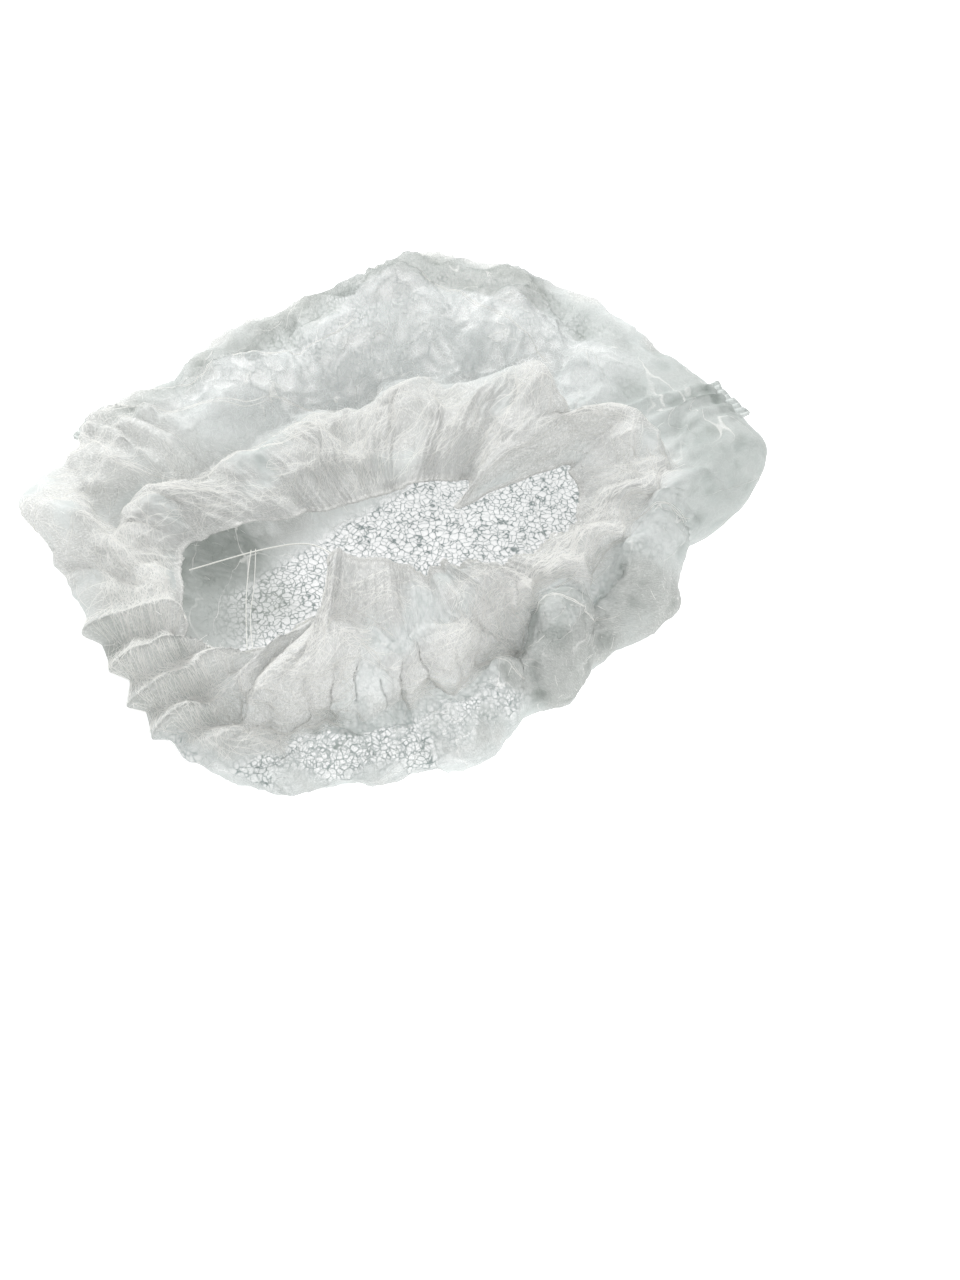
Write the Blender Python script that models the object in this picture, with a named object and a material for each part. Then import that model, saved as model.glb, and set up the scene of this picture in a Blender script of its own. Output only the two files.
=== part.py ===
"""A disposable bouffant cap of thin nonwoven cloth, lying crown down with its elastic mouth open upwards.

Units are metres and +Z is up. The origin is on the surface that the cap rests on, under the middle of its
outline. +X runs towards the right end weld and +Y towards the broad back of the cap. The cloth is worked out
as upright sections that fan out from the middle of the mouth: each one runs from the middle of the floor,
out under the cloth, round its widest point, over the body and the gathered rim, and in to the hem.
"""

import math
from collections import namedtuple

import bpy
import numpy as np

# Driving sizes
CAP_WIDTH = 0.281  # between the end welds' roots: half of it is a reach of 1 to the side
CAP_DEPTH = 0.260  # half of it is a reach of 1 to the front or back
CAP_HEIGHT = 0.060  # from the floor to the top of the gathered rim
CLOTH_WALL = 0.0013  # the cloth with the air that its crumpled face holds
MOUTH_WIDTH = 0.150  # the long way across the open mouth
MOUTH_DEPTH = 0.070  # the short way across it
MOUTH_TURN = 14.0  # degrees that the long way is turned from +X
MOUTH_LEFT = 0.0013  # the mouth's middle, left of the middle of the outline
MOUTH_FORWARD = 0.0459  # the mouth's middle, in front of the middle of the outline
CLEARANCE = 0.0003  # between pieces that touch
FLOOR_GAP = 0.0006  # the least height of cloth that does not rest on the floor
LEAST_LEAN = 0.8  # the wall is thickened no further where the cloth slopes more steeply across a section

# Folds, gathers and wrinkles
FOLD_RISE = 0.0090  # the tallest single fold
FOLD_CREST = 1.5  # power of a fold's crest: 1 is a sharp ridge and 2 a round one
TURN_UP = 90.0  # degrees by which folds turn from outwards at the waist to upwards on the body
TURN_IN = 50.0  # degrees by which they turn further, towards the mouth, at the hem
PLEAT_DEPTH = 0.0100  # from crest to valley of the accordion pleats at the left front
PLEAT_COUNT = 5
PLEAT_FIRST = 188.0  # degrees at which the first pleat begins
PLEAT_PITCH = 9.2  # degrees from one pleat to the next
PLEAT_RISE = 0.62  # the share of the pitch over which a pleat rises, before its quick fall
PLEAT_DRIFT = 2.5  # degrees that a pleat moves to the side at each next station inwards
PLEAT_END = 0.6  # the share of the first and of the last pitch over which the pleats grow and fade
GATHER_DEPTH = 0.0055  # from crest to valley of the gathers at the hem
GATHER_COUNT = 23
WRINKLE_DEPTH = 0.0022  # of the shallow puckers all over the cloth

# Hem, elastic and end welds
HEM_LEG = 0.0065  # the turned hem, from the cloth's edge to its own fold
HEM_RETURN = 0.0042  # the part that is turned back over the elastic
HEM_WALL = 0.0011
ELASTIC_THICK = 0.0009
ELASTIC_SIDES = 4
WELD_LENGTH = 0.0070
WELD_THICK = 0.0020
WELD_HALF_ANGLE = 4.0  # degrees to each side of the weld's middle
WELD_STEP = 1.0  # degrees between the weld's sections
WELD_RIDGE = 0.0008  # height of the pressed layers' ridges
WELD_NOTCH = 0.0014  # how far the weld's outer edge steps in and out
WELD_OFFSET = 0.0010  # how much shorter the upper-angle half of a weld is
CREASE_COUNT = 4  # creases that run into the cap from each weld
CREASE_DEPTH = 0.0030
CREASE_PITCH = 2.2  # degrees between them at the weld
CREASE_FAN = 0.9  # how much further apart they are at each next station inwards
LEFT_WELD_ANGLE = 147.0
RIGHT_WELD_ANGLE = 36.0

# Waves round the mouth that make the gathers uneven: in their spacing, in radians, and in their depth
Wave = namedtuple("Wave", "around start share")
GATHER_SPACING = (Wave(2, 0.5, 0.9), Wave(5, 0.0, 0.7))
GATHER_LIVELY = Wave(3, 2.0, 0.25)

# Stations along a section
MIDDLE, FOOT, WAIST, BODY, VALLEY, RIM, HEM = range(7)
ROWS = (0.5, 1.0, 1.35, 1.7, 2.0, 2.3, 2.65, 3.0, 3.3, 3.65, 4.0, 4.3, 4.6, 4.9, 5.2, 5.5, 5.75, 6.0)

# Stations between which each kind of relief grows from nothing, and those between which it fades
Extent = namedtuple("Extent", "grows full fades gone")
PLEAT_EXTENT = Extent(0.9, 1.6, 3.0, 4.7)
CREASE_EXTENT = Extent(1.1, 2.95, 2.95, 4.8)
GATHER_EXTENT = Extent(3.9, 5.2, 6.0, 7.0)
PUCKER_EXTENT = Extent(1.0, 2.0, 6.0, 7.0)
TURN_EXTENT = Extent(1.8, 3.1, 4.9, 6.0)

# Spans of the fan of sections: from one angle to the next, with the degrees between sections
Span = namedtuple("Span", "start end step")
SPANS = (
    Span(-7.0, 32.0, 3.9),
    Span(32.0, 40.0, 1.0),
    Span(40.0, 143.0, 4.12),
    Span(143.0, 151.0, 1.0),
    Span(151.0, 188.0, 4.111),
    Span(188.0, 236.0, 1.6),
    Span(236.0, 353.0, 4.034),
)

# The outline seen from above: reach from the mouth's middle, as a share of half the width and half the depth
Reach = namedtuple("Reach", "angle reach")
OUTLINE = (
    Reach(0, 0.74),
    Reach(8, 0.78),
    Reach(14, 0.85),
    Reach(19, 1.05),
    Reach(26, 1.13),
    Reach(36, 1.15),
    Reach(50, 1.22),
    Reach(64, 1.31),
    Reach(78, 1.35),
    Reach(88, 1.40),
    Reach(95, 1.28),
    Reach(106, 1.16),
    Reach(120, 1.13),
    Reach(133, 1.02),
    Reach(146, 1.04),
    Reach(156, 1.02),
    Reach(166, 1.03),
    Reach(176, 0.92),
    Reach(186, 0.80),
    Reach(200, 0.73),
    Reach(214, 0.72),
    Reach(230, 0.74),
    Reach(246, 0.74),
    Reach(260, 0.69),
    Reach(274, 0.63),
    Reach(290, 0.64),
    Reach(304, 0.61),
    Reach(326, 0.60),
    Reach(341, 0.62),
    Reach(351, 0.69),
)

# The form of a section: the foot's share of the outline's reach, places of the body's top, the valley that the
# elastic draws and the rim, from 0 at the hem to 1 at the outline, and heights as shares of the cap's height
Rise = namedtuple("Rise", "angle foot waist body_in body valley_in valley rim_in rim hem")
RISES = (
    Rise(0, 0.80, 0.26, 0.70, 0.54, 0.50, 0.46, 0.30, 0.68, 0.60),
    Rise(34, 0.80, 0.44, 0.74, 0.68, 0.48, 0.60, 0.34, 0.80, 0.62),
    Rise(56, 0.82, 0.42, 0.70, 0.70, 0.46, 0.64, 0.30, 1.00, 0.66),
    Rise(76, 0.84, 0.42, 0.72, 0.80, 0.44, 0.54, 0.28, 0.78, 0.60),
    Rise(100, 0.84, 0.42, 0.74, 0.74, 0.46, 0.48, 0.28, 0.68, 0.54),
    Rise(124, 0.78, 0.44, 0.74, 0.68, 0.48, 0.46, 0.30, 0.66, 0.50),
    Rise(150, 0.55, 0.44, 0.76, 0.62, 0.50, 0.44, 0.30, 0.62, 0.48),
    Rise(178, 0.45, 0.36, 0.74, 0.56, 0.50, 0.50, 0.30, 0.62, 0.48),
    Rise(204, 0.60, 0.26, 0.74, 0.54, 0.58, 0.62, 0.38, 0.72, 0.54),
    Rise(226, 0.78, 0.24, 0.78, 0.44, 0.52, 0.36, 0.58, 0.74, 0.46),
    Rise(236, 0.80, 0.24, 0.80, 0.42, 0.54, 0.30, 0.62, 0.74, 0.56),
    Rise(248, 0.80, 0.24, 0.80, 0.42, 0.56, 0.30, 0.64, 0.78, 0.90),
    Rise(266, 0.80, 0.24, 0.80, 0.42, 0.56, 0.32, 0.62, 0.78, 0.92),
    Rise(290, 0.80, 0.24, 0.76, 0.44, 0.52, 0.36, 0.54, 0.74, 0.80),
    Rise(322, 0.80, 0.24, 0.72, 0.50, 0.52, 0.42, 0.36, 0.72, 0.74),
)

# The hem's reach as a share of the mouth's oval: flaps hang into it at the front and at the back
Edge = namedtuple("Edge", "angle share")
HEM_EDGE = (
    Edge(16, 1.00),
    Edge(30, 1.12),
    Edge(41, 1.20),
    Edge(48, 0.98),
    Edge(54, 0.70),
    Edge(61, 0.86),
    Edge(84, 0.90),
    Edge(112, 0.88),
    Edge(150, 0.92),
    Edge(194, 0.90),
    Edge(222, 1.04),
    Edge(233, 0.90),
    Edge(243, 0.62),
    Edge(260, 0.62),
    Edge(280, 0.70),
    Edge(304, 0.66),
    Edge(328, 0.60),
    Edge(350, 0.74),
)

# Single folds: rise as a share of FOLD_RISE, stations between which each runs, and its drift to the side
Fold = namedtuple("Fold", "angle width rise start end lean")
FOLDS = (
    Fold(3, 6, 0.80, 1.4, 5.0, 7.0),
    Fold(15, 5, -0.95, 1.3, 4.8, 5.0),
    Fold(25, 5, 0.60, 1.6, 4.8, -4.0),
    Fold(46, 5, -0.60, 1.6, 4.8, -9.0),
    Fold(57, 5, 0.70, 2.2, 5.8, -2.0),
    Fold(70, 5, -0.65, 1.6, 5.0, -8.0),
    Fold(80, 5, 0.55, 1.6, 4.6, -10.0),
    Fold(89, 5, 1.00, 1.4, 4.0, 4.0),
    Fold(97, 5, -0.90, 1.4, 4.8, -12.0),
    Fold(112, 6, 0.65, 1.6, 4.6, -16.0),
    Fold(124, 6, -0.70, 1.5, 4.8, -12.0),
    Fold(134, 5, 0.60, 1.6, 4.8, -8.0),
    Fold(157, 5, -0.85, 1.5, 5.2, 5.0),
    Fold(166, 5, 0.85, 1.5, 5.2, 7.0),
    Fold(177, 5, -0.80, 1.5, 5.2, 5.0),
    Fold(242, 5, -0.55, 1.3, 3.9, 8.0),
    Fold(251, 5, 0.55, 1.3, 3.9, 8.0),
    Fold(262, 5, -0.50, 1.3, 3.9, 6.0),
    Fold(283, 5, -0.85, 1.3, 4.6, -6.0),
    Fold(293, 5, 0.75, 1.3, 4.8, -6.0),
    Fold(307, 6, -0.75, 1.3, 4.8, 6.0),
    Fold(320, 6, 0.85, 1.3, 5.2, 9.0),
    Fold(335, 6, -0.90, 1.3, 5.0, 9.0),
    Fold(349, 5, 0.80, 1.3, 5.0, 8.0),
)

# Creases that run along the cap instead of across it, between two angles and centred on one station
Crease = namedtuple("Crease", "start end station width rise")
CREASES = (
    Crease(36, 96, 2.75, 0.30, -0.55),
    Crease(50, 126, 3.50, 0.28, 0.50),
    Crease(92, 144, 2.70, 0.26, -0.60),
    Crease(104, 172, 3.55, 0.28, 0.45),
    Crease(232, 306, 3.00, 0.30, 0.30),
    Crease(222, 292, 4.05, 0.36, -0.22),
    Crease(300, 352, 3.05, 0.30, 0.50),
    Crease(296, 358, 3.95, 0.30, -0.50),
)

# Shallow puckers: waves round the cap and along a section, with the start of the wave and its share
Pucker = namedtuple("Pucker", "around along start share")
PUCKERS = (
    Pucker(9, 1.3, 0.4, 0.45),
    Pucker(14, -2.1, 1.9, 0.35),
    Pucker(21, 3.2, 4.1, 0.25),
)

# Material colours, roughness
NONWOVEN = (0.86, 0.89, 0.88, 0.75)
THREAD = (0.90, 0.90, 0.88, 0.55)
WELD = (0.80, 0.82, 0.80, 0.45)


def ring_value(rows, column):
    """A smooth curve round the cap through one column of a table, as a function of the angle in degrees."""
    angles = [row.angle for row in rows]
    values = [getattr(row, column) for row in rows]
    count = len(rows)
    steps = [(angles[(i + 1) % count] - angles[i]) % 360 for i in range(count)]
    rises = [values[(i + 1) % count] - values[i] for i in range(count)]
    slopes = [
        (rises[i - 1] / steps[i - 1] + rises[i] / steps[i]) / 2 for i in range(count)
    ]

    def value(angle):
        offsets = [(angle - start) % 360 for start in angles]
        i = offsets.index(min(offsets))
        t = offsets[i] / steps[i]
        first, last = values[i], values[(i + 1) % count]
        leave, arrive = slopes[i] * steps[i], slopes[(i + 1) % count] * steps[i]
        return (
            first * (2 * t**3 - 3 * t**2 + 1)
            + leave * (t**3 - 2 * t**2 + t)
            + last * (3 * t**2 - 2 * t**3)
            + arrive * (t**3 - t**2)
        )

    return value


REACH_AT = ring_value(OUTLINE, "reach")
HEM_AT = ring_value(HEM_EDGE, "share")
FORM_AT = {name: ring_value(RISES, name) for name in Rise._fields[1:]}


def section_angles():
    """The angles of all sections, closer together at the pleats and at the welds."""
    angles = []
    for span in SPANS:
        count = round((span.end - span.start) / span.step)
        angles += [span.start + (span.end - span.start) * i / count for i in range(count)]
    return angles


def ray(angle):
    """The way that a section runs seen from above, and the length that stands for a reach of 1."""
    x = math.cos(math.radians(angle)) * CAP_WIDTH / 2
    y = math.sin(math.radians(angle)) * CAP_DEPTH / 2
    length = math.hypot(x, y)
    return x / length, y / length, length


def oval_reach(x, y):
    """Distance from the mouth's middle to its turned oval, along the unit vector x, y."""
    turn = math.radians(MOUTH_TURN)
    along = x * math.cos(turn) + y * math.sin(turn)
    across = y * math.cos(turn) - x * math.sin(turn)
    return 1 / math.hypot(along / (MOUTH_WIDTH / 2), across / (MOUTH_DEPTH / 2))


def angle_gap(a, b):
    """Signed difference of two angles in degrees, from -180 to 180."""
    return (a - b + 180) % 360 - 180


def swell(station, start, end):
    """A smooth hill from 0 at one station up to 1 halfway and down to 0 at another."""
    t = (station - start) / (end - start)
    return math.sin(math.pi * t) ** 2 if 0 < t < 1 else 0.0


def ramp(value, start, end):
    """0 before start, 1 after end and smooth between."""
    t = min(max((value - start) / (end - start), 0.0), 1.0)
    return t * t * (3 - 2 * t)


def extent(station, reach):
    """How much of a kind of relief there is at a station, from 0 to 1."""
    return ramp(station, reach.grows, reach.full) * (1 - ramp(station, reach.fades, reach.gone))


def knots(angle):
    """Distance from the mouth's middle and height of each station of a section, before folds."""
    x, y, length = ray(angle)
    outline = REACH_AT(angle) * length
    hem = oval_reach(x, y) * HEM_AT(angle)
    form = {name: curve(angle) for name, curve in FORM_AT.items()}
    places = [(0.0, 0.0), (outline * form["foot"], 0.0), (outline, CAP_HEIGHT * form["waist"])]
    for name in ("body", "valley", "rim"):
        places.append((hem + (outline - hem) * form[name + "_in"], CAP_HEIGHT * form[name]))
    places.append((hem, CAP_HEIGHT * form["hem"]))
    return places


def point_at(places, station):
    """A point on the smooth curve through a section's stations."""
    i = min(int(station), HEM - 1)
    t = station - i
    before = places[i - 1] if i else places[0]
    first, last = places[i], places[i + 1]
    after = places[i + 2] if i + 2 <= HEM else (last[0], last[1] - (first[1] - last[1]))
    point = []
    for a, b, c, d in zip(before, first, last, after):
        leave, arrive = (c - a) / 2, (d - b) / 2
        point.append(
            b * (2 * t**3 - 3 * t**2 + 1)
            + leave * (t**3 - 2 * t**2 + t)
            + c * (3 * t**2 - 2 * t**3)
            + arrive * (t**3 - t**2)
        )
    return point


def pleats(angle, station):
    """Accordion pleats at the left front: a slow rise and a quick fall, deepest at the outline."""
    phase = (angle - PLEAT_FIRST - PLEAT_DRIFT * (station - WAIST)) / PLEAT_PITCH
    if not 0 < phase < PLEAT_COUNT:
        return 0.0
    share = phase % 1.0
    wave = share / PLEAT_RISE if share < PLEAT_RISE else (1 - share) / (1 - PLEAT_RISE)
    ends = ramp(phase, 0, PLEAT_END) * (1 - ramp(phase, PLEAT_COUNT - PLEAT_END, PLEAT_COUNT))
    return PLEAT_DEPTH * (wave - 0.5) * ends * extent(station, PLEAT_EXTENT)


def weld_creases(angle, station):
    """Creases that fan out from each end weld into the cap."""
    total = 0.0
    for weld in (LEFT_WELD_ANGLE, RIGHT_WELD_ANGLE):
        fan = 1 + CREASE_FAN * max(station - WAIST, 0)
        share = angle_gap(angle, weld) / (CREASE_PITCH * fan)
        if abs(share) < CREASE_COUNT / 2:
            edge = 1 - (2 * share / CREASE_COUNT) ** 2
            total += CREASE_DEPTH / 2 * math.cos(2 * math.pi * share) * edge
    return total * extent(station, CREASE_EXTENT)


def gathers(angle, station):
    """Gathers that the elastic draws into the rim and the hem."""
    turn = math.radians(angle)
    phase = GATHER_COUNT * turn
    for wave in GATHER_SPACING:
        phase += wave.share * math.sin(wave.around * turn + wave.start)
    wave = GATHER_LIVELY
    lively = 1 - wave.share * (1 - math.sin(wave.around * turn + wave.start))
    return GATHER_DEPTH / 2 * lively * math.sin(phase) * extent(station, GATHER_EXTENT)


def fold_height(angle, station):
    """How far folds, pleats, gathers and puckers move the cloth outwards from its smooth form."""
    height = pleats(angle, station) + weld_creases(angle, station) + gathers(angle, station)
    for fold in FOLDS:
        middle = fold.angle + fold.lean * (station - WAIST)
        share = angle_gap(angle, middle) / fold.width
        ridge = math.exp(-(abs(share) ** FOLD_CREST))
        height += FOLD_RISE * fold.rise * ridge * swell(station, fold.start, fold.end)
    for crease in CREASES:
        share = (station - crease.station) / crease.width
        along = swell(angle, crease.start, crease.end)
        height += FOLD_RISE * crease.rise * math.exp(-share * share) * along
    for pucker in PUCKERS:
        wave = math.sin(pucker.around * math.radians(angle) + pucker.along * station + pucker.start)
        height += WRINKLE_DEPTH * pucker.share * wave * extent(station, PUCKER_EXTENT)
    return height


def push(station):
    """The way that folds move the cloth: outwards at the waist, up over the body, inwards at the hem."""
    reach = TURN_EXTENT
    up, inwards = ramp(station, reach.grows, reach.full), ramp(station, reach.fades, reach.gone)
    turn = math.radians(TURN_UP * up + TURN_IN * inwards)
    return math.cos(turn), math.sin(turn)


def outward(profile):
    """Unit vectors that point out of the cloth's outer face, in the plane of the section."""
    slope = np.gradient(profile, axis=1)
    slope /= np.linalg.norm(slope, axis=2, keepdims=True)
    return np.stack([slope[:, :, 1], -slope[:, :, 0]], axis=2)


def in_space(angles, profile):
    """Section points, given as distance and height, as points in space."""
    rays = np.array([ray(angle)[:2] for angle in angles])
    x = profile[:, :, 0] * rays[:, None, 0] - MOUTH_LEFT
    y = profile[:, :, 0] * rays[:, None, 1] - MOUTH_FORWARD
    return np.stack([x, y, profile[:, :, 1]], axis=2)


def cloth_faces(angles):
    """The outer and the inner face of the cloth as arrays of distance and height: sections by rows."""
    smooth = np.array([[point_at(knots(angle), row) for row in ROWS] for angle in angles])
    lift = np.array([[fold_height(angle, row) for row in ROWS] for angle in angles])
    ways = np.array([push(row) for row in ROWS])
    outer = smooth + ways[None] * lift[:, :, None]
    resting = sum(row <= FOOT for row in ROWS)
    outer[:, :resting, 1] = 0.0
    outer[:, resting:, 1] = np.maximum(outer[:, resting:, 1], FLOOR_GAP)
    normals = outward(outer)
    space = in_space(angles, outer)
    round_cap = np.roll(space, -1, axis=0) - np.roll(space, 1, axis=0)
    along = np.gradient(space, axis=1)
    true = np.cross(round_cap, along)
    true /= np.linalg.norm(true, axis=2, keepdims=True)
    rays = np.array([ray(angle)[:2] for angle in angles])
    flat = np.stack(
        [
            normals[:, :, 0] * rays[:, None, 0],
            normals[:, :, 0] * rays[:, None, 1],
            normals[:, :, 1],
        ],
        axis=2,
    )
    lean = np.abs((true * flat).sum(axis=2)).clip(LEAST_LEAN, 1.0)
    inner = outer - normals * (CLOTH_WALL / lean)[:, :, None]
    inner[:, :resting, 1] = CLOTH_WALL
    return outer, inner


def add_piece(name, points, faces, material):
    """One closed solid as an object of its own, shaded smooth."""
    mesh = bpy.data.meshes.new(name)
    mesh.from_pydata([tuple(point) for point in points], [], faces)
    mesh.materials.append(material)
    mesh.shade_smooth()
    piece = bpy.data.objects.new(name, mesh)
    bpy.context.scene.collection.objects.link(piece)
    return piece


def make_material(name, finish):
    """A Principled material from a colour and a roughness."""
    material = bpy.data.materials.new(name)
    material.use_nodes = True
    shader = material.node_tree.nodes["Principled BSDF"]
    shader.inputs["Base Color"].default_value = (*finish[:3], 1.0)
    shader.inputs["Roughness"].default_value = finish[3]
    shader.inputs["Metallic"].default_value = 0.0
    return material


def make_crown(angles, outer, inner, material):
    """The whole sheet of cloth, from the floor round to its edge at the hem."""
    count, rows = len(angles), len(ROWS)
    middle = (-MOUTH_LEFT, -MOUTH_FORWARD)
    points = list(in_space(angles, outer).reshape(-1, 3)) + list(in_space(angles, inner).reshape(-1, 3))
    below, above = len(points), len(points) + 1
    points += [(*middle, 0.0), (*middle, CLOTH_WALL)]
    skin = count * rows
    faces = []
    for i in range(count):
        this, following = i * rows, (i + 1) % count * rows
        faces.append((below, following, this))
        faces.append((above, skin + this, skin + following))
        for j in range(rows - 1):
            faces.append((this + j, following + j, following + j + 1, this + j + 1))
            first, second = skin + this + j, skin + following + j
            faces.append((first, first + 1, second + 1, second))
        last = rows - 1
        faces.append((this + last, following + last, skin + following + last, skin + this + last))
    return add_piece("crown", points, faces, material)


def sweep(name, rings, material):
    """A solid with the same closed outline in each section, and flat ends."""
    points = [point for ring in rings for point in ring]
    size = len(rings[0])
    faces = []
    for i in range(len(rings) - 1):
        for j in range(size):
            k = (j + 1) % size
            faces.append((i * size + j, i * size + k, (i + 1) * size + k, (i + 1) * size + j))
    faces.append(tuple(range(size - 1, -1, -1)))
    faces.append(tuple((len(rings) - 1) * size + j for j in range(size)))
    return add_piece(name, points, faces, material)


def hem_outline():
    """The turned hem in section: along the cloth past its edge, and out from its outer face."""
    channel = ELASTIC_THICK + 2 * CLEARANCE
    start, fold = CLEARANCE, CLEARANCE + HEM_LEG
    return [
        (start, -HEM_WALL),
        (fold, -HEM_WALL),
        (fold, channel + HEM_WALL),
        (fold - HEM_RETURN, channel + HEM_WALL),
        (fold - HEM_RETURN, channel),
        (fold - HEM_WALL, channel),
        (fold - HEM_WALL, 0.0),
        (start, 0.0),
    ]


def elastic_outline():
    """The elastic thread in section, lying in the fold of the hem."""
    radius = ELASTIC_THICK / 2
    middle = (HEM_LEG - HEM_WALL - radius, CLEARANCE + radius)
    ring = []
    for i in range(ELASTIC_SIDES):
        turn = 2 * math.pi * (i + 0.5) / ELASTIC_SIDES
        ring.append((middle[0] + radius * math.cos(turn), middle[1] + radius * math.sin(turn)))
    return ring


def hem_rings(angles, outer, outline):
    """The outline set against the cloth's edge at each section."""
    rings = []
    for angle, section in zip(angles, outer):
        places = knots(angle)
        end, before = np.array(point_at(places, HEM)), np.array(point_at(places, HEM - 0.3))
        along = (end - before) / np.linalg.norm(end - before)
        out = np.array([along[1], -along[0]])
        profile = np.array([section[-1] + along * a + out * b for a, b in outline])
        rings.append(in_space([angle], profile[None])[0])
    return rings


def make_rim(angles, outer, cloth, thread):
    """Front and back hems with their elastic threads, which meet at the mouth's narrow ends."""
    halves = {
        "back": [i for i, angle in enumerate(angles) if 0 < (angle - MOUTH_TURN) % 360 < 180],
        "front": [i for i, angle in enumerate(angles) if (angle - MOUTH_TURN) % 360 > 180],
    }
    for side, chosen in halves.items():
        chosen.sort(key=lambda i: (angles[i] - MOUTH_TURN) % 360)
        picked = [angles[i] for i in chosen]
        sections = [outer[i] for i in chosen]
        sweep(f"{side}_hem", hem_rings(picked, sections, hem_outline()), cloth)
        sweep(f"{side}_elastic", hem_rings(picked, sections, elastic_outline()), thread)


def make_weld(name, middle, angles, outer, material):
    """The pressed end of the cloth: a short ribbed tab that stands out from the cap's widest point."""
    waist = ROWS.index(WAIST)
    rings = []
    for angle, section in zip(angles, outer):
        offset = angle_gap(angle, middle)
        if abs(offset) > WELD_HALF_ANGLE + 0.01:
            continue
        ridge = WELD_RIDGE / 2 * math.cos(math.pi * offset / WELD_STEP)
        notch = WELD_NOTCH * (0.5 - 0.5 * math.cos(math.pi * offset / WELD_STEP)) + WELD_OFFSET * (offset > 0)
        root, height = section[waist]
        start, end = root + CLEARANCE, root + WELD_LENGTH - notch
        low, high = height - WELD_THICK / 2 + ridge, height + WELD_THICK / 2 + ridge
        profile = np.array([(start, low), (start, high), (end, high), (end, low)])
        rings.append(in_space([angle], profile[None])[0])
    return sweep(name, rings, material)


def main():
    """Builds the cap."""
    for old in list(bpy.data.objects):
        bpy.data.objects.remove(old)
    cloth = make_material("nonwoven", NONWOVEN)
    thread = make_material("elastic", THREAD)
    weld = make_material("weld", WELD)
    angles = section_angles()
    outer, inner = cloth_faces(angles)
    make_crown(angles, outer, inner, cloth)
    make_rim(angles, outer, cloth, thread)
    make_weld("left_weld", LEFT_WELD_ANGLE, angles, outer, weld)
    make_weld("right_weld", RIGHT_WELD_ANGLE, angles, outer, weld)


main()
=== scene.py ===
"""The looks of a disposable bouffant cap of thin nonwoven cloth, crown down with its mouth open upwards.

Units are metres and +Z is up. The cloth is worked out as upright sections that fan out from the middle of
the mouth: each runs from the middle of the floor, out under the cloth, round its widest point, over the body
and the gathered rim, and in to the hem.
"""

import math
import random
from collections import namedtuple

import bpy
import numpy as np
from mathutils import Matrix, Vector, noise


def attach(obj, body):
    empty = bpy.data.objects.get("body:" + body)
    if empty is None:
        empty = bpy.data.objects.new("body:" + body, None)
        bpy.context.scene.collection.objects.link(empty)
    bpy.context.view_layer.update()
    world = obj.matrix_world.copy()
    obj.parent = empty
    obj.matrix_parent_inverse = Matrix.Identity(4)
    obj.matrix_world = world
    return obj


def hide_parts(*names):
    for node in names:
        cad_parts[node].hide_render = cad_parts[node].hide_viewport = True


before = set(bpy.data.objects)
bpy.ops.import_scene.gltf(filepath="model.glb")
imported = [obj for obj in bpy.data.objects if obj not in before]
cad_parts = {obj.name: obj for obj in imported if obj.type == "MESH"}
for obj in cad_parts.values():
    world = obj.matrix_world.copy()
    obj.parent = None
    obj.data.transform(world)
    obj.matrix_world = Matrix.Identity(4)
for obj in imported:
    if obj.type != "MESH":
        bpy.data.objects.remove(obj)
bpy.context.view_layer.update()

# Driving sizes
CAP_WIDTH = 0.281  # between the end welds' roots: half of it is a reach of 1 to the side
CAP_DEPTH = 0.260  # half of it is a reach of 1 to the front or back
CAP_HEIGHT = 0.060  # from the floor to the top of the gathered rim
MOUTH_WIDTH = 0.150  # the long way across the open mouth
MOUTH_DEPTH = 0.070  # the short way across it
MOUTH_TURN = 14.0  # degrees that the long way is turned from +X
MOUTH_LEFT = 0.0013  # the mouth's middle, left of the middle of the outline
MOUTH_FORWARD = 0.0459  # the mouth's middle, in front of the middle of the outline

# Folds, gathers and wrinkles
FOLD_RISE = 0.0090  # the tallest single fold
FOLD_CREST = 1.5  # power of a fold's crest: 1 is a sharp ridge and 2 a round one
TURN_UP = 90.0  # degrees by which folds turn from outwards at the waist to upwards on the body
TURN_IN = 50.0  # degrees by which they turn further, towards the mouth, at the hem
PLEAT_DEPTH = 0.0098  # from crest to valley of the accordion pleats at the left front
PLEAT_COUNT = 5
PLEAT_FIRST = 188.0  # degrees at which the first pleat begins
PLEAT_PITCH = 9.2  # degrees from one pleat to the next
PLEAT_RISE = 0.76  # the share of the pitch over which a pleat rises, before its quick fall
PLEAT_DRIFT = 3.4  # degrees that a pleat moves to the side at each next station inwards, at most
DRIFT_START, DRIFT_FULL = 183.0, 208.0  # degrees between which that grows from nothing
PLEAT_END = 0.6  # the share of the first and of the last pitch over which the pleats grow and fade
PLEAT_MIDDLE = 211.0
PLEAT_HALF = 23.0
PETAL_MIDDLE = 24.0  # the smooth petal at the right
PETAL_HALF = 26.0
FIBROUS_SIDE = 190.0  # the side that is fibrous down to its body
FIBROUS_REACH = (45, 80)  # degrees from its middle within which it is so fully, and at all
CREASED_SIDE = 90.0  # the side whose smooth cloth lies in soft creases
CREASED_REACH = (38, 62)
GATHER_DEPTH = 0.0024  # from crest to valley of the gathers at the hem
GATHER_COUNT = 23
WRINKLE_DEPTH = 0.0022  # of the shallow puckers all over the cloth

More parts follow.
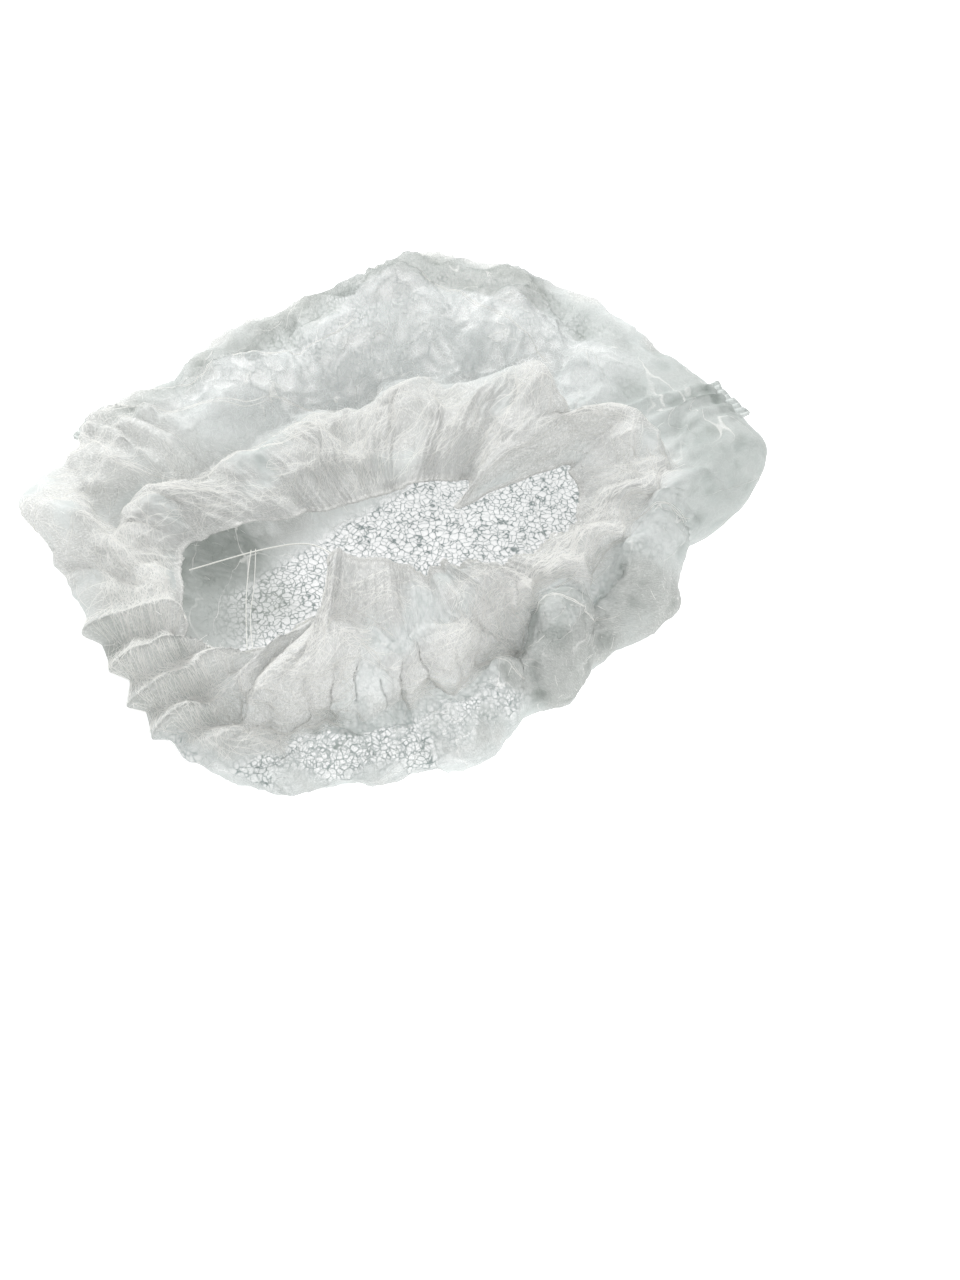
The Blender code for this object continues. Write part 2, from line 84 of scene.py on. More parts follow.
# Hem, elastic and end welds
WELD_LENGTH = 0.0070
WELD_THICK = 0.0020
WELD_HALF_ANGLE = 4.0  # degrees to each side of the weld's middle
WELD_LAP = 0.002  # how far a weld reaches back under the cloth
WELD_RIDGE = 0.0008  # height of the pressed layers' ridges
WELD_NOTCH = 0.0014  # how far the weld's outer edge steps in and out
WELD_OFFSET = 0.0010  # how much shorter the upper-angle half of a weld is
CREASE_COUNT = 4  # creases that run into the cap from each weld
CREASE_DEPTH = 0.0042
CREASE_PITCH = 2.2  # degrees between them at the weld
CREASE_FAN = 0.9  # how much further apart they are at each next station inwards
LEFT_WELD_ANGLE = 147.0
RIGHT_WELD_ANGLE = 36.0
PINCH_ANGLE = 14.0  # where the right side is pinched in, with creases like a weld's

# Waves round the mouth that make the gathers uneven: in their spacing, in radians, and in their depth
Wave = namedtuple("Wave", "around start share")
GATHER_SPACING = (Wave(2, 0.5, 0.9), Wave(5, 0.0, 0.7))
GATHER_LIVELY = Wave(3, 2.0, 0.25)

# Stations along a section
MIDDLE, FOOT, WAIST, BODY, VALLEY, RIM, HEM = range(7)

# Stations between which each kind of relief grows from nothing, and those between which it fades
Extent = namedtuple("Extent", "grows full fades gone")
PLEAT_EXTENT = Extent(1.3, 3.0, 5.3, 6.3)
CREASE_EXTENT = Extent(1.1, 2.95, 2.95, 4.8)
GATHER_EXTENT = Extent(3.9, 5.2, 6.0, 7.0)
PUCKER_EXTENT = Extent(1.0, 2.0, 6.0, 7.0)
TURN_EXTENT = Extent(1.8, 3.1, 4.9, 6.0)

# The outline seen from above: reach from the mouth's middle, as a share of half the width and half the depth
Reach = namedtuple("Reach", "angle reach")
OUTLINE = [Reach(*row) for row in (
    (0, 0.75), (8, 0.80), (14, 0.865), (17, 1.00), (21, 1.09), (27, 1.13), (36, 1.15), (50, 1.22),
    (64, 1.31), (78, 1.35), (88, 1.40), (95, 1.28), (106, 1.16), (120, 1.13), (133, 1.02), (146, 1.04),
    (156, 1.02), (166, 1.03), (176, 0.92), (186, 0.825), (200, 0.775), (214, 0.77), (230, 0.765),
    (246, 0.74), (260, 0.69), (274, 0.63), (290, 0.64), (304, 0.575), (326, 0.60), (342, 0.63), (352, 0.72),
)]

# The form of a section: the foot's share of the outline's reach, places of the body's top, the valley that
# the elastic draws and the rim, from 0 at the hem to 1 at the outline, and heights as shares of the cap's
Rise = namedtuple("Rise", "angle foot waist body_in body valley_in valley rim_in rim hem")
RISES = (
    Rise(0, 0.80, 0.26, 0.70, 0.52, 0.50, 0.50, 0.30, 0.66, 0.60),
    Rise(34, 0.80, 0.44, 0.74, 0.68, 0.48, 0.60, 0.34, 0.80, 0.62),
    Rise(54, 0.82, 0.42, 0.70, 0.70, 0.46, 0.64, 0.30, 1.00, 0.58),
    Rise(76, 0.84, 0.42, 0.72, 0.80, 0.44, 0.54, 0.28, 0.78, 0.60),
    Rise(100, 0.84, 0.42, 0.74, 0.74, 0.46, 0.48, 0.28, 0.68, 0.54),
    Rise(124, 0.78, 0.44, 0.74, 0.68, 0.48, 0.46, 0.30, 0.66, 0.50),
    Rise(150, 0.55, 0.44, 0.76, 0.62, 0.50, 0.44, 0.30, 0.62, 0.48),
    Rise(178, 0.45, 0.36, 0.74, 0.56, 0.50, 0.50, 0.30, 0.62, 0.48),
    Rise(190, 0.48, 0.30, 0.72, 0.50, 0.46, 0.57, 0.18, 0.64, 0.56),
    Rise(206, 0.60, 0.24, 0.72, 0.44, 0.44, 0.54, 0.16, 0.63, 0.57),
    Rise(220, 0.70, 0.22, 0.74, 0.41, 0.46, 0.48, 0.20, 0.62, 0.56),
    Rise(234, 0.80, 0.24, 0.82, 0.38, 0.62, 0.38, 0.42, 0.62, 0.60),
    Rise(248, 0.80, 0.24, 0.82, 0.38, 0.66, 0.36, 0.50, 0.70, 0.90),
    Rise(266, 0.80, 0.24, 0.82, 0.38, 0.66, 0.37, 0.48, 0.70, 0.92),
    Rise(290, 0.80, 0.24, 0.78, 0.42, 0.60, 0.40, 0.44, 0.68, 0.80),
    Rise(322, 0.80, 0.24, 0.74, 0.46, 0.54, 0.45, 0.34, 0.68, 0.72),
)

# The hem's reach as a share of the mouth's oval: flaps hang into it at the front and at the back
Edge = namedtuple("Edge", "angle share")
HEM_EDGE = [Edge(*row) for row in (
    (16, 0.95), (30, 1.12), (36, 1.17), (39, 0.96), (43, 0.57), (48, 0.78), (55, 0.94), (62, 0.96),
    (84, 0.92), (112, 0.92), (136, 0.95), (152, 1.02), (164, 1.22), (172, 1.26), (182, 1.11), (194, 1.03),
    (204, 1.10), (212, 1.20), (220, 1.23), (227, 1.20), (233, 1.06), (242, 0.90), (247, 0.73), (252, 0.59),
    (266, 0.62), (280, 0.72), (304, 0.68), (328, 0.62), (350, 0.76),
)]

# Single folds: rise as a share of FOLD_RISE, stations between which each runs, and its drift to the side
Fold = namedtuple("Fold", "angle width rise start end lean")
FOLDS = (
    Fold(3, 6, 0.80, 1.4, 5.0, 7.0),
    Fold(15, 5, -0.95, 1.3, 4.8, 5.0),
    Fold(25, 5, 0.60, 1.6, 4.8, -4.0),
    Fold(46, 5, -0.60, 1.6, 4.8, -9.0),
    Fold(57, 5, 0.70, 2.2, 5.8, -2.0),
    Fold(70, 5, -0.65, 1.6, 5.0, -8.0),
    Fold(80, 5, 0.55, 1.6, 4.6, -10.0),
    Fold(89, 5, 1.00, 1.4, 4.0, 4.0),
    Fold(97, 5, -0.90, 1.4, 4.8, -12.0),
    Fold(112, 6, 0.65, 1.6, 4.6, -16.0),
    Fold(124, 6, -0.70, 1.5, 4.8, -12.0),
    Fold(134, 5, 0.60, 1.6, 4.8, -8.0),
    Fold(157, 5, -0.85, 1.5, 5.2, 5.0),
    Fold(166, 5, 0.85, 1.5, 5.2, 7.0),
    Fold(177, 5, -0.80, 1.5, 5.2, 5.0),
    Fold(242, 5, -0.55, 1.3, 3.9, 8.0),
    Fold(251, 5, 0.55, 1.3, 3.9, 8.0),
    Fold(262, 5, -0.50, 1.3, 3.9, 6.0),
    Fold(283, 5, -0.85, 1.3, 4.6, -6.0),
    Fold(293, 5, 0.75, 1.3, 4.8, -6.0),
    Fold(307, 6, -0.75, 1.3, 4.8, 6.0),
    Fold(320, 6, 0.85, 1.3, 5.2, 9.0),
    Fold(335, 6, -0.90, 1.3, 5.0, 9.0),
    Fold(349, 5, 0.80, 1.3, 5.0, 8.0),
)

# Creases that run along the cap instead of across it, between two angles and centred on one station
Crease = namedtuple("Crease", "start end station width rise")
CREASES = (
    Crease(36, 96, 2.75, 0.30, -0.55),
    Crease(50, 126, 3.50, 0.28, 0.50),
    Crease(92, 144, 2.70, 0.26, -0.60),
    Crease(104, 172, 3.55, 0.28, 0.45),
    Crease(232, 306, 3.00, 0.30, 0.30),
    Crease(222, 292, 4.05, 0.36, -0.22),
    Crease(300, 352, 3.05, 0.30, 0.50),
    Crease(296, 358, 3.95, 0.30, -0.50),
)

# Shallow puckers: waves round the cap and along a section, with the start of the wave and its share
Pucker = namedtuple("Pucker", "around along start share")
PUCKERS = (
    Pucker(9, 1.3, 0.4, 0.45),
    Pucker(14, -2.1, 1.9, 0.35),
    Pucker(21, 3.2, 4.1, 0.25),
)

# The cloth's fine relief, too small for the solids
SECTIONS = 640
FIRST_ANGLE = -40  # degrees at which the first section stands
FLOOR_ROWS = 30
CLOTH_ROWS = 118
CREASE_SHARPNESS = 1.35  # power that draws the pleats' ridges to an edge
FINE_COUNT = 58  # small gathers round the mouth
FINE_DEPTH = 0.0013
BACK_MIDDLE = 110.0  # degrees: the rim's back, where the gathers are shallow
CREPE_COUNT = 150  # the finest gathers, at the hem
CREPE_DEPTH = 0.0009
SCALLOP_PITCH = 7.4  # degrees between the loops of the ruffle at the left front
SCALLOP_DEPTH = 0.0042
SCALLOP_START, SCALLOP_END = 220, 300  # degrees
NOISE_SEED = 6  # without it the vector noise starts from the clock
CRUMPLE_DEPTH = 0.0062
CRUMPLE_LEVEL = 0.3  # the facets' value that lies in the smooth form
CRUMPLE_WARP = 0.0065  # how far the facets' edges wander
OUTLINE_EASE = 0.0022  # the crumpled relief stands out of the smooth form by about this
TANGLE_SIZE = 0.015  # size of the turns by which the gathers wander and tangle
TANGLE_DEPTH = 0.0080
TANGLE_FINE = 0.0055
TANGLE_FINE_DEPTH = 0.0024
CLOUD_SIZE = 0.022  # size of the paler and the darker patches
CLOUD_START, BLOTCH_START, WISP_START = 5.0, 17.0, 29.0  # where each noise is read
HOLLOW_SHADE = 0.17  # painted shade: how much darker the crumples' hollows are painted
WISP_AROUND = 0.046  # length of the wisps' curves round the cap
WISP_ALONG = 0.013
WISP_SWAY = 0.45  # how far the gathers' wandering bends them
FINE_EXTENT = Extent(3.3, 4.7, 6.0, 7.0)
CREPE_EXTENT = Extent(4.4, 5.5, 6.0, 7.0)
SCALLOP_EXTENT = Extent(3.4, 4.1, 4.5, 5.2)
FLOOR_RIDGE = 0.0009  # how far the resting cloth's crinkles stand up

# Facets of the crumpled cloth: their size, the start of their noise and their share of the depth
Crumple = namedtuple("Crumple", "size start share")
CRUMPLES = (
    Crumple(0.021, 3.0, 0.66),
    Crumple(0.0085, 11.0, 0.28),
    Crumple(0.0042, 23.0, 0.10),
)

# The cloth as a grid of points by angle and station, and its marks by name, each a grid too
Grid = namedtuple("Grid", "angles stations points marks")

# The tongue of cloth at the front of the mouth leans to the left, the more the nearer it is to its hem
TONGUE_ANGLE = 250.0
TONGUE_HALF_ANGLE = 24.0
TONGUE_LEAN = 0.0095
TONGUE_TIP, TONGUE_ROOT = 0.60, 0.84  # the hem's shares at its tip and where the lean ends
TONGUE_STATIONS = (4.6, 6.0)  # between which the lean grows

# Behind and to the left of a line on the floor the cloth lifts off it: a point of the line and its way
LIFT_PLACE = (-0.0372, -0.0149)
LIFT_WAY = 133.0  # degrees
LIFT_SLOPE = 0.10
LIFT_WRINKLE = 0.0050
LIFT_BLUR = 0.004
LIFT_FULL = 0.012  # from the line to where the wrinkles are at their full height

# Where the cloth is a single layer, painted bright with painted light; where it is crumpled most;
# where painted shade and layers that lie close behind each other make it darker;
# and where fine gathers make it pale and fibrous
Patch = namedtuple("Patch", "angle half_angle station half_station strength")
# painted light: single layers near white for the floor's light through them, the back brighter where light
# falls
BRIGHT_PATCHES = (
    Patch(264, 56, 2.55, 0.95, 1.3),
    Patch(226, 14, 2.8, 0.7, 0.4),
    Patch(128, 17, 2.85, 0.45, 0.8),
    Patch(102, 22, 3.0, 0.45, 0.75),
    Patch(76, 14, 2.8, 0.45, 0.7),
    Patch(92, 52, 3.3, 1.3, 0.86),
    Patch(318, 14, 3.3, 0.5, 0.35),
)
CRISP_PATCHES = (
    Patch(104, 50, 2.8, 0.9, 0.7),
    Patch(325, 30, 3.1, 1.2, 0.6),
)
# painted shade: the inner wall and other patches painted a darker grey, with the tone of layers close behind
SHADE_AND_LAYER_PATCHES = (
    Patch(98, 60, 2.66, 0.42, 0.8),
    Patch(168, 38, 1.2, 0.62, 1.0),
    Patch(330, 40, 2.9, 1.7, 0.60),
    Patch(28, 28, 2.5, 1.4, 0.66),
    Patch(212, 28, 3.2, 2.2, 0.43),
    Patch(262, 50, 3.0, 1.4, 0.42),
)
FIBROUS_PATCHES = (
    Patch(178, 40, 3.2, 1.4, 0.75),
    Patch(208, 26, 3.2, 1.9, 0.95),
    Patch(100, 62, 1.95, 0.55, 0.75),
    Patch(104, 56, 2.62, 0.36, 0.6),
    Patch(38, 12, 2.7, 1.2, 0.5),
    Patch(350, 22, 3.4, 0.9, 0.7),
    Patch(318, 24, 3.9, 0.8, 0.7),
    Patch(334, 36, 2.7, 1.3, 1.0),
    Patch(146, 14, 2.6, 1.2, 0.8),
    Patch(166, 40, 1.35, 0.5, 0.6),
)

# Pale lines where the cloth is drawn tight, each a few strands side by side: the angles and stations passed
LINES = (
    ((56, 5.0), (52, 5.5), (49, 5.9)),
    ((6, 5.0), (10, 4.0), (13, 3.0), (14, 2.2)),
    ((147, 2.1), (141, 3.0), (128, 3.6), (110, 4.0), (92, 4.3)),
    ((150, 2.1), (156, 3.2), (150, 4.2), (136, 4.9), (120, 5.2)),
    ((144, 2.1), (132, 2.7), (116, 3.1), (98, 3.3)),
    ((178, 2.6), (170, 3.8), (160, 4.9), (150, 5.5)),
    ((352, 4.6), (338, 4.1), (322, 3.8), (306, 3.9)),
    ((346, 2.5), (336, 3.2), (328, 4.1), (326, 5.0)),
    ((312, 2.6), (306, 3.4), (300, 4.3)),
    ((96, 2.1), (90, 2.7), (76, 3.2), (60, 3.6)),
)
LINE_STRANDS = 3
LINE_STEPS = 36
LINE_SPREAD = 0.3  # degrees between a line's strands, about
LINE_RADIUS = 0.00014

# Fine strands that lie on the cloth
STRAND_SEED = 12
STRAND_COUNT = 1750
STRAND_STEPS = 16
STRAND_LEAST = 0.3  # how fibrous the cloth under a strand is at least
STRAND_START = (2.4, 5.7)  # stations between which they begin
STRAND_HIGHEST = 5.9  # the station where they end at the latest
STRAND_SIDE = 110  # degrees from the fibrous side within which they run further down
FIBROUS_LOWEST, SMOOTH_LOWEST = 2.2, 3.5  # the lowest stations there and elsewhere
STRAND_LENGTH = (0.006, 0.034)
STRAND_RADIUS = 0.0001
STRAND_ABOVE = 0.0003
STATION_LENGTH = 0.016  # the cloth from one station to the next, about

SHEET_LENGTH = 0.25  # that one turn of the cloth's map stands for, from the middle towards the hem
SHEET_AROUND = 0.80  # and round the cap

# Hem, elastic threads and welds
HEM_SECTIONS = 1500
HEM_FOLD = 0.0012  # from the cloth's edge to the hem's own fold
HEM_TURNED = 0.0016  # the part turned back over the elastic
HEM_RADIUS = 0.0005
HEM_ABOVE = 0.0003  # from the cloth's middle to the hem round the elastic
HEM_SMOOTHING = 14  # sections to each side over which the hem's ways are averaged
HEM_MAP = (0.45, 0.08)  # the share of the cloth's map that a hem takes, along it and across
HEM_RIB_DEPTH = 0.0003
HEM_RIB_COUNT = 190
ELASTIC_RADIUS = 0.00032
WELD_SECTIONS = 90
WELD_TEETH = 3.6

# Loose elastic threads over the mouth
Thread = namedtuple("Thread", "name radius_mm points_mm")
THREADS = (
    Thread(
        "left_thread_a",
        0.16,
        ((-52.2, -47.5, 36.5), (-52.6, -60, 34.6), (-51.5, -76, 33.4), (-49.2, -91, 35.0)),
    ),
    Thread(
        "left_thread_b",
        0.14,
        ((-50.6, -47.0, 36.5), (-49.6, -62, 34.0), (-50.4, -77, 33.2), (-47.2, -91, 35.0)),
    ),
    Thread(
        "hem_thread",
        0.26,
        (
            (-74, -54, 33),
            (-62, -50.5, 34.5),
            (-48, -47.5, 37),
            (-33, -45, 38),
            (-24, -51.5, 41),
            (-18.5, -61, 46),
        ),
    ),
)


def hermite(first, leave, last, arrive, t):
    """A smooth curve from first to last with the given slopes."""
    return (
        first * (2 * t**3 - 3 * t**2 + 1)
        + leave * (t**3 - 2 * t**2 + t)
        + last * (3 * t**2 - 2 * t**3)
        + arrive * (t**3 - t**2)
    )


def ring_value(rows, column):
    """A smooth curve round the cap through one column of a table, as a function of angles in degrees."""
    starts = np.array([row.angle for row in rows], float)
    values = np.array([getattr(row, column) for row in rows], float)
    steps = (np.roll(starts, -1) - starts) % 360
    rates = (np.roll(values, -1) - values) / steps
    slopes = (np.roll(rates, 1) + rates) / 2

    def value(angles):
        offsets = (angles[:, None] - starts) % 360
        i = offsets.argmin(axis=1)
        j = (i + 1) % len(rows)
        t = offsets.min(axis=1) / steps[i]
        return hermite(values[i], slopes[i] * steps[i], values[j], slopes[j] * steps[i], t)

    return value


REACH_AT = ring_value(OUTLINE, "reach")
HEM_AT = ring_value(HEM_EDGE, "share")
FORM_AT = {name: ring_value(RISES, name) for name in Rise._fields[1:]}


def rays(angles):
    """The ways that sections run seen from above, and the lengths that stand for a reach of 1."""
    x = np.cos(np.radians(angles)) * CAP_WIDTH / 2
    y = np.sin(np.radians(angles)) * CAP_DEPTH / 2
    length = np.hypot(x, y)
    return x / length, y / length, length


def oval_reach(x, y):
    """Distance from the mouth's middle to its turned oval, along the unit vectors x, y."""
    turn = math.radians(MOUTH_TURN)
    along = x * math.cos(turn) + y * math.sin(turn)
    across = y * math.cos(turn) - x * math.sin(turn)
    return 1 / np.hypot(along / (MOUTH_WIDTH / 2), across / (MOUTH_DEPTH / 2))


def angle_gap(a, b):
    """Signed difference of angles in degrees, from -180 to 180."""
    return (a - b + 180) % 360 - 180


def within(angle, middle, full, gone):
    """1 up to full degrees from the middle, 0 from gone degrees on and smooth between."""
    return 1 - ramp(np.abs(angle_gap(angle, middle)), full, gone)


def ramp(value, start, end):
    """0 before start, 1 after end and smooth between."""
    t = np.clip((value - start) / (end - start), 0.0, 1.0)
    return t * t * (3 - 2 * t)


def swell(value, start, end):
    """A smooth hill from 0 at start up to 1 halfway and down to 0 at end."""
    return np.sin(np.pi * np.clip((value - start) / (end - start), 0.0, 1.0)) ** 2


def extent(station, reach):
    """How much of a kind of relief there is at a station, from 0 to 1."""
    return ramp(station, reach.grows, reach.full) * (1 - ramp(station, reach.fades, reach.gone))


def knots(angles):
    """Distance from the mouth's middle and height of each station of each section, before folds."""
    x, y, length = rays(angles)
    outline = REACH_AT(angles) * length - OUTLINE_EASE
    hem = oval_reach(x, y) * HEM_AT(angles)
    form = {name: curve(angles) for name, curve in FORM_AT.items()}
    rows = [(0 * outline, 0 * outline), (outline * form["foot"], 0 * outline)]
    rows.append((outline, CAP_HEIGHT * form["waist"]))
    for name in ("body", "valley", "rim"):
        rows.append((hem + (outline - hem) * form[name + "_in"], CAP_HEIGHT * form[name]))
    rows.append((hem, CAP_HEIGHT * form["hem"]))
    rows.append((hem, CAP_HEIGHT * (2 * form["hem"] - form["rim"])))
    return np.array(rows).transpose(2, 0, 1)


def section_points(places, stations):
    """Points on the smooth curve through each section's stations, as distance and height."""
    i = np.minimum(stations.astype(int), HEM - 1)
    t = (stations - i)[None, :, None]
    before, first = places[:, np.maximum(i - 1, 0)], places[:, i]
    last, after = places[:, i + 1], places[:, i + 2]
    return hermite(first, (last - before) / 2, last, (after - first) / 2, t)


def pleats(angle, station):
    """Accordion pleats at the left front: a slow rise and a quick fall, deepest at the outline."""
    drift = PLEAT_DRIFT * np.clip((angle - DRIFT_START) / (DRIFT_FULL - DRIFT_START), 0, 1)
    phase = (angle - PLEAT_FIRST - drift * (station - WAIST)) / PLEAT_PITCH
    share = phase % 1.0
    wave = np.where(share < PLEAT_RISE, share / PLEAT_RISE, (1 - share) / (1 - PLEAT_RISE))
    ends = ramp(phase, 0, PLEAT_END) * (1 - ramp(phase, PLEAT_COUNT - PLEAT_END, PLEAT_COUNT))
    return PLEAT_DEPTH * (wave**CREASE_SHARPNESS - 0.5) * ends * extent(station, PLEAT_EXTENT)


def weld_creases(angle, station):
    """Creases that fan out from each end weld and from the pinch into the cap."""
    total = 0.0
    for weld in (LEFT_WELD_ANGLE, RIGHT_WELD_ANGLE, PINCH_ANGLE):
        fan = 1 + CREASE_FAN * np.maximum(station - WAIST, 0)
        share = angle_gap(angle, weld) / (CREASE_PITCH * fan)
        edge = np.maximum(1 - (2 * share / CREASE_COUNT) ** 2, 0)
        ridge = 1 - 2 * np.abs(np.sin(math.pi * share)) ** 0.8
        total = total + CREASE_DEPTH / 2 * ridge * edge
    return total * extent(station, CREASE_EXTENT)


def gathers(angle, station):
    """Gathers that the elastic draws into the rim and the hem."""
    turn = np.radians(angle)
    phase = GATHER_COUNT * turn
    for wave in GATHER_SPACING:
        phase = phase + wave.share * np.sin(wave.around * turn + wave.start)
    wave = GATHER_LIVELY
    lively = 1 - wave.share * (1 - np.sin(wave.around * turn + wave.start))
    return GATHER_DEPTH / 2 * lively * np.sin(phase) * extent(station, GATHER_EXTENT)


def fold_height(angle, station):
    """How far folds, pleats, gathers and puckers move the cloth from its smooth form."""
    height = pleats(angle, station) + weld_creases(angle, station) + gathers(angle, station)
    for fold in FOLDS:
        middle = fold.angle + fold.lean * (station - WAIST)
        ridge = np.exp(-(np.abs(angle_gap(angle, middle) / fold.width) ** FOLD_CREST))
        height = height + FOLD_RISE * fold.rise * ridge * swell(station, fold.start, fold.end)
    for crease in CREASES:
        share = (station - crease.station) / crease.width
        ridge = np.exp(-share * share)
        height = height + FOLD_RISE * crease.rise * ridge * swell(angle, crease.start, crease.end)
    for pucker in PUCKERS:
        wave = np.sin(pucker.around * np.radians(angle) + pucker.along * station + pucker.start)
        height = height + WRINKLE_DEPTH * pucker.share * wave * extent(station, PUCKER_EXTENT)
    return height


def push(station):
    """The way that folds move the cloth: outwards at the waist, up over the body, inwards at the hem."""
    reach = TURN_EXTENT
    up, inwards = ramp(station, reach.grows, reach.full), ramp(station, reach.fades, reach.gone)
    turn = np.radians(TURN_UP * up + TURN_IN * inwards)
    return np.cos(turn), np.sin(turn)


def folded_sections(angles, stations):
    """Distance from the mouth's middle and height of the folded cloth, at each angle and station."""
    profile = section_points(knots(angles), stations)
    ways = np.stack(push(stations), axis=1)[None]
    return profile + ways * fold_height(angles[:, None], stations[None, :])[:, :, None]


def in_space(distance, height, x, y):
    """Points at distances from the mouth's middle along the ways x, y and at heights."""
    return np.stack([distance * x - MOUTH_LEFT, distance * y - MOUTH_FORWARD, height], axis=-1)


def fine_gathers(angle, station):
    """Small creased gathers between the large ones, and the crepe at the hem."""
    turn = np.radians(angle)
    sway = 1.7 * np.sin(3 * turn + 1.1) + 0.9 * np.sin(8 * turn) + 0.5 * np.sin(4 * turn + 2.2 * station)
    crest = 0.5 - np.abs(np.sin((FINE_COUNT * turn + sway) / 2))
    lively = 0.6 + 0.4 * np.sin(5 * turn + station)
    lively = lively * (1 - 0.6 * ramp(np.abs(angle_gap(angle, BACK_MIDDLE)), 80, 50))
    height = FINE_DEPTH * lively * crest * extent(station, FINE_EXTENT)
    crest = 0.5 - np.abs(np.sin((CREPE_COUNT * turn + 2.3 * sway) / 2))
    height = height + CREPE_DEPTH * crest * extent(station, CREPE_EXTENT)
    return height


def scallops(angle, station):
    """How far the loops of the ruffle at the left front stand out over the cloth below them."""
    turn = np.radians(angle)
    loops = np.abs(np.sin(math.pi * angle / SCALLOP_PITCH + 0.9 * np.sin(7 * turn) + 0.5 * station)) ** 0.8
    lively = 0.75 + 0.25 * np.sin(13 * turn)
    middle, half = (SCALLOP_START + SCALLOP_END) / 2, (SCALLOP_END - SCALLOP_START) / 2
    where = within(angle, middle, 0.7 * half, half)
    return SCALLOP_DEPTH * lively * (loops - 0.45) * where * extent(station, SCALLOP_EXTENT)


def facets(points, size, start):
    """Flat facets with ridges between them, as in crumpled cloth: from 0 at a ridge to about 1 in a facet."""
    offset = Vector((start, 1.7 * start, 0.6 * start))
    found = []
    for point in points.reshape(-1, 3) / size:
        place = Vector(point) + offset
        bent = place + noise.noise_vector(place * 1.3) * (CRUMPLE_WARP / CRUMPLES[0].size)
        nearest = noise.voronoi(bent)[0]
        found.append(nearest[1] - nearest[0])
    return np.minimum(found, 1.0).reshape(points.shape[:-1])


def clouds(points, size, start, detail=4):
    """Soft cloudy noise from 0 to 1."""
    offset = Vector((start, 2.3 * start, 1.1 * start))
    places = points.reshape(-1, 3) / size
    found = [noise.fractal(Vector(place) + offset, 1.0, 2.0, detail) for place in places]
    return np.clip(0.5 + 0.55 * np.array(found), 0.0, 1.0).reshape(points.shape[:-1])


def tangle(points):
    """Sideways moves that make gathers wander."""
    total = 0.0
    for size, depth in ((TANGLE_SIZE, TANGLE_DEPTH), (TANGLE_FINE, TANGLE_FINE_DEPTH)):
        places = points.reshape(-1, 3) / size
        total = total + np.array([noise.noise_vector(Vector(place)) for place in places]) * depth / 2
    return total.reshape(points.shape)


def grid_normals(points):
    """Unit normals of a grid that is closed round the cap, pointing out of the cloth's outer face."""
    around = np.roll(points, -1, axis=0) - np.roll(points, 1, axis=0)
    normals = np.cross(around, np.gradient(points, axis=1))
    return normals / np.linalg.norm(normals, axis=2, keepdims=True)


def section_lengths(points):
    """Length of cloth from the grid's first row to each point, along its section."""
    return np.linalg.norm(np.diff(points, axis=1, prepend=points[:, :1]), axis=2).cumsum(axis=1)


def patch_share(patches, angle, station):
    """How strongly any patch of a table covers each point, from 0 to 1."""
    share = 0.0 * (angle + station)
    for patch in patches:
        across = angle_gap(angle, patch.angle) / patch.half_angle
        along = (station - patch.station) / patch.half_station
        share = np.maximum(share, patch.strength * (1 - ramp(np.hypot(across, along), 0.55, 1.1)))
    return share


def folded_cloth(angles, stations):
    """The cloth before its fine relief: a grid of points, flat where it rests and with its tongue leaning."""
    angle, station = angles[:, None], stations[None, :]
    profile = folded_sections(angles, stations)
    profile[:, :, 0] += scallops(angle, station)
    x, y, _ = rays(angles)
    points = in_space(profile[:, :, 0], profile[:, :, 1], x[:, None], y[:, None])
    points[:, stations <= FOOT, 2] = 0.0
    tongue = within(angle, TONGUE_ANGLE, 0.3 * TONGUE_HALF_ANGLE, TONGUE_HALF_ANGLE)
    tongue *= 1 - ramp(HEM_AT(angles)[:, None], TONGUE_TIP, TONGUE_ROOT)
    points[:, :, 0] -= TONGUE_LEAN * tongue * ramp(station, *TONGUE_STATIONS)
    return points


def wisp_clouds(points, moves):
    """Clouds drawn out round the cap; thin pale wisps run where they pass their middle value."""
    turn = 2 * np.pi * np.arange(SECTIONS)[:, None] / SECTIONS
    radius = SHEET_AROUND / (2 * np.pi) / WISP_AROUND
    spots = np.zeros(points.shape)
    spots[:, :, 0] = radius * np.cos(turn)
    spots[:, :, 1] = radius * np.sin(turn)
    spots[:, :, 2] = section_lengths(points) / WISP_ALONG
    spots += WISP_SWAY * moves / TANGLE_DEPTH
    return clouds(spots, 1.0, WISP_START, 2)


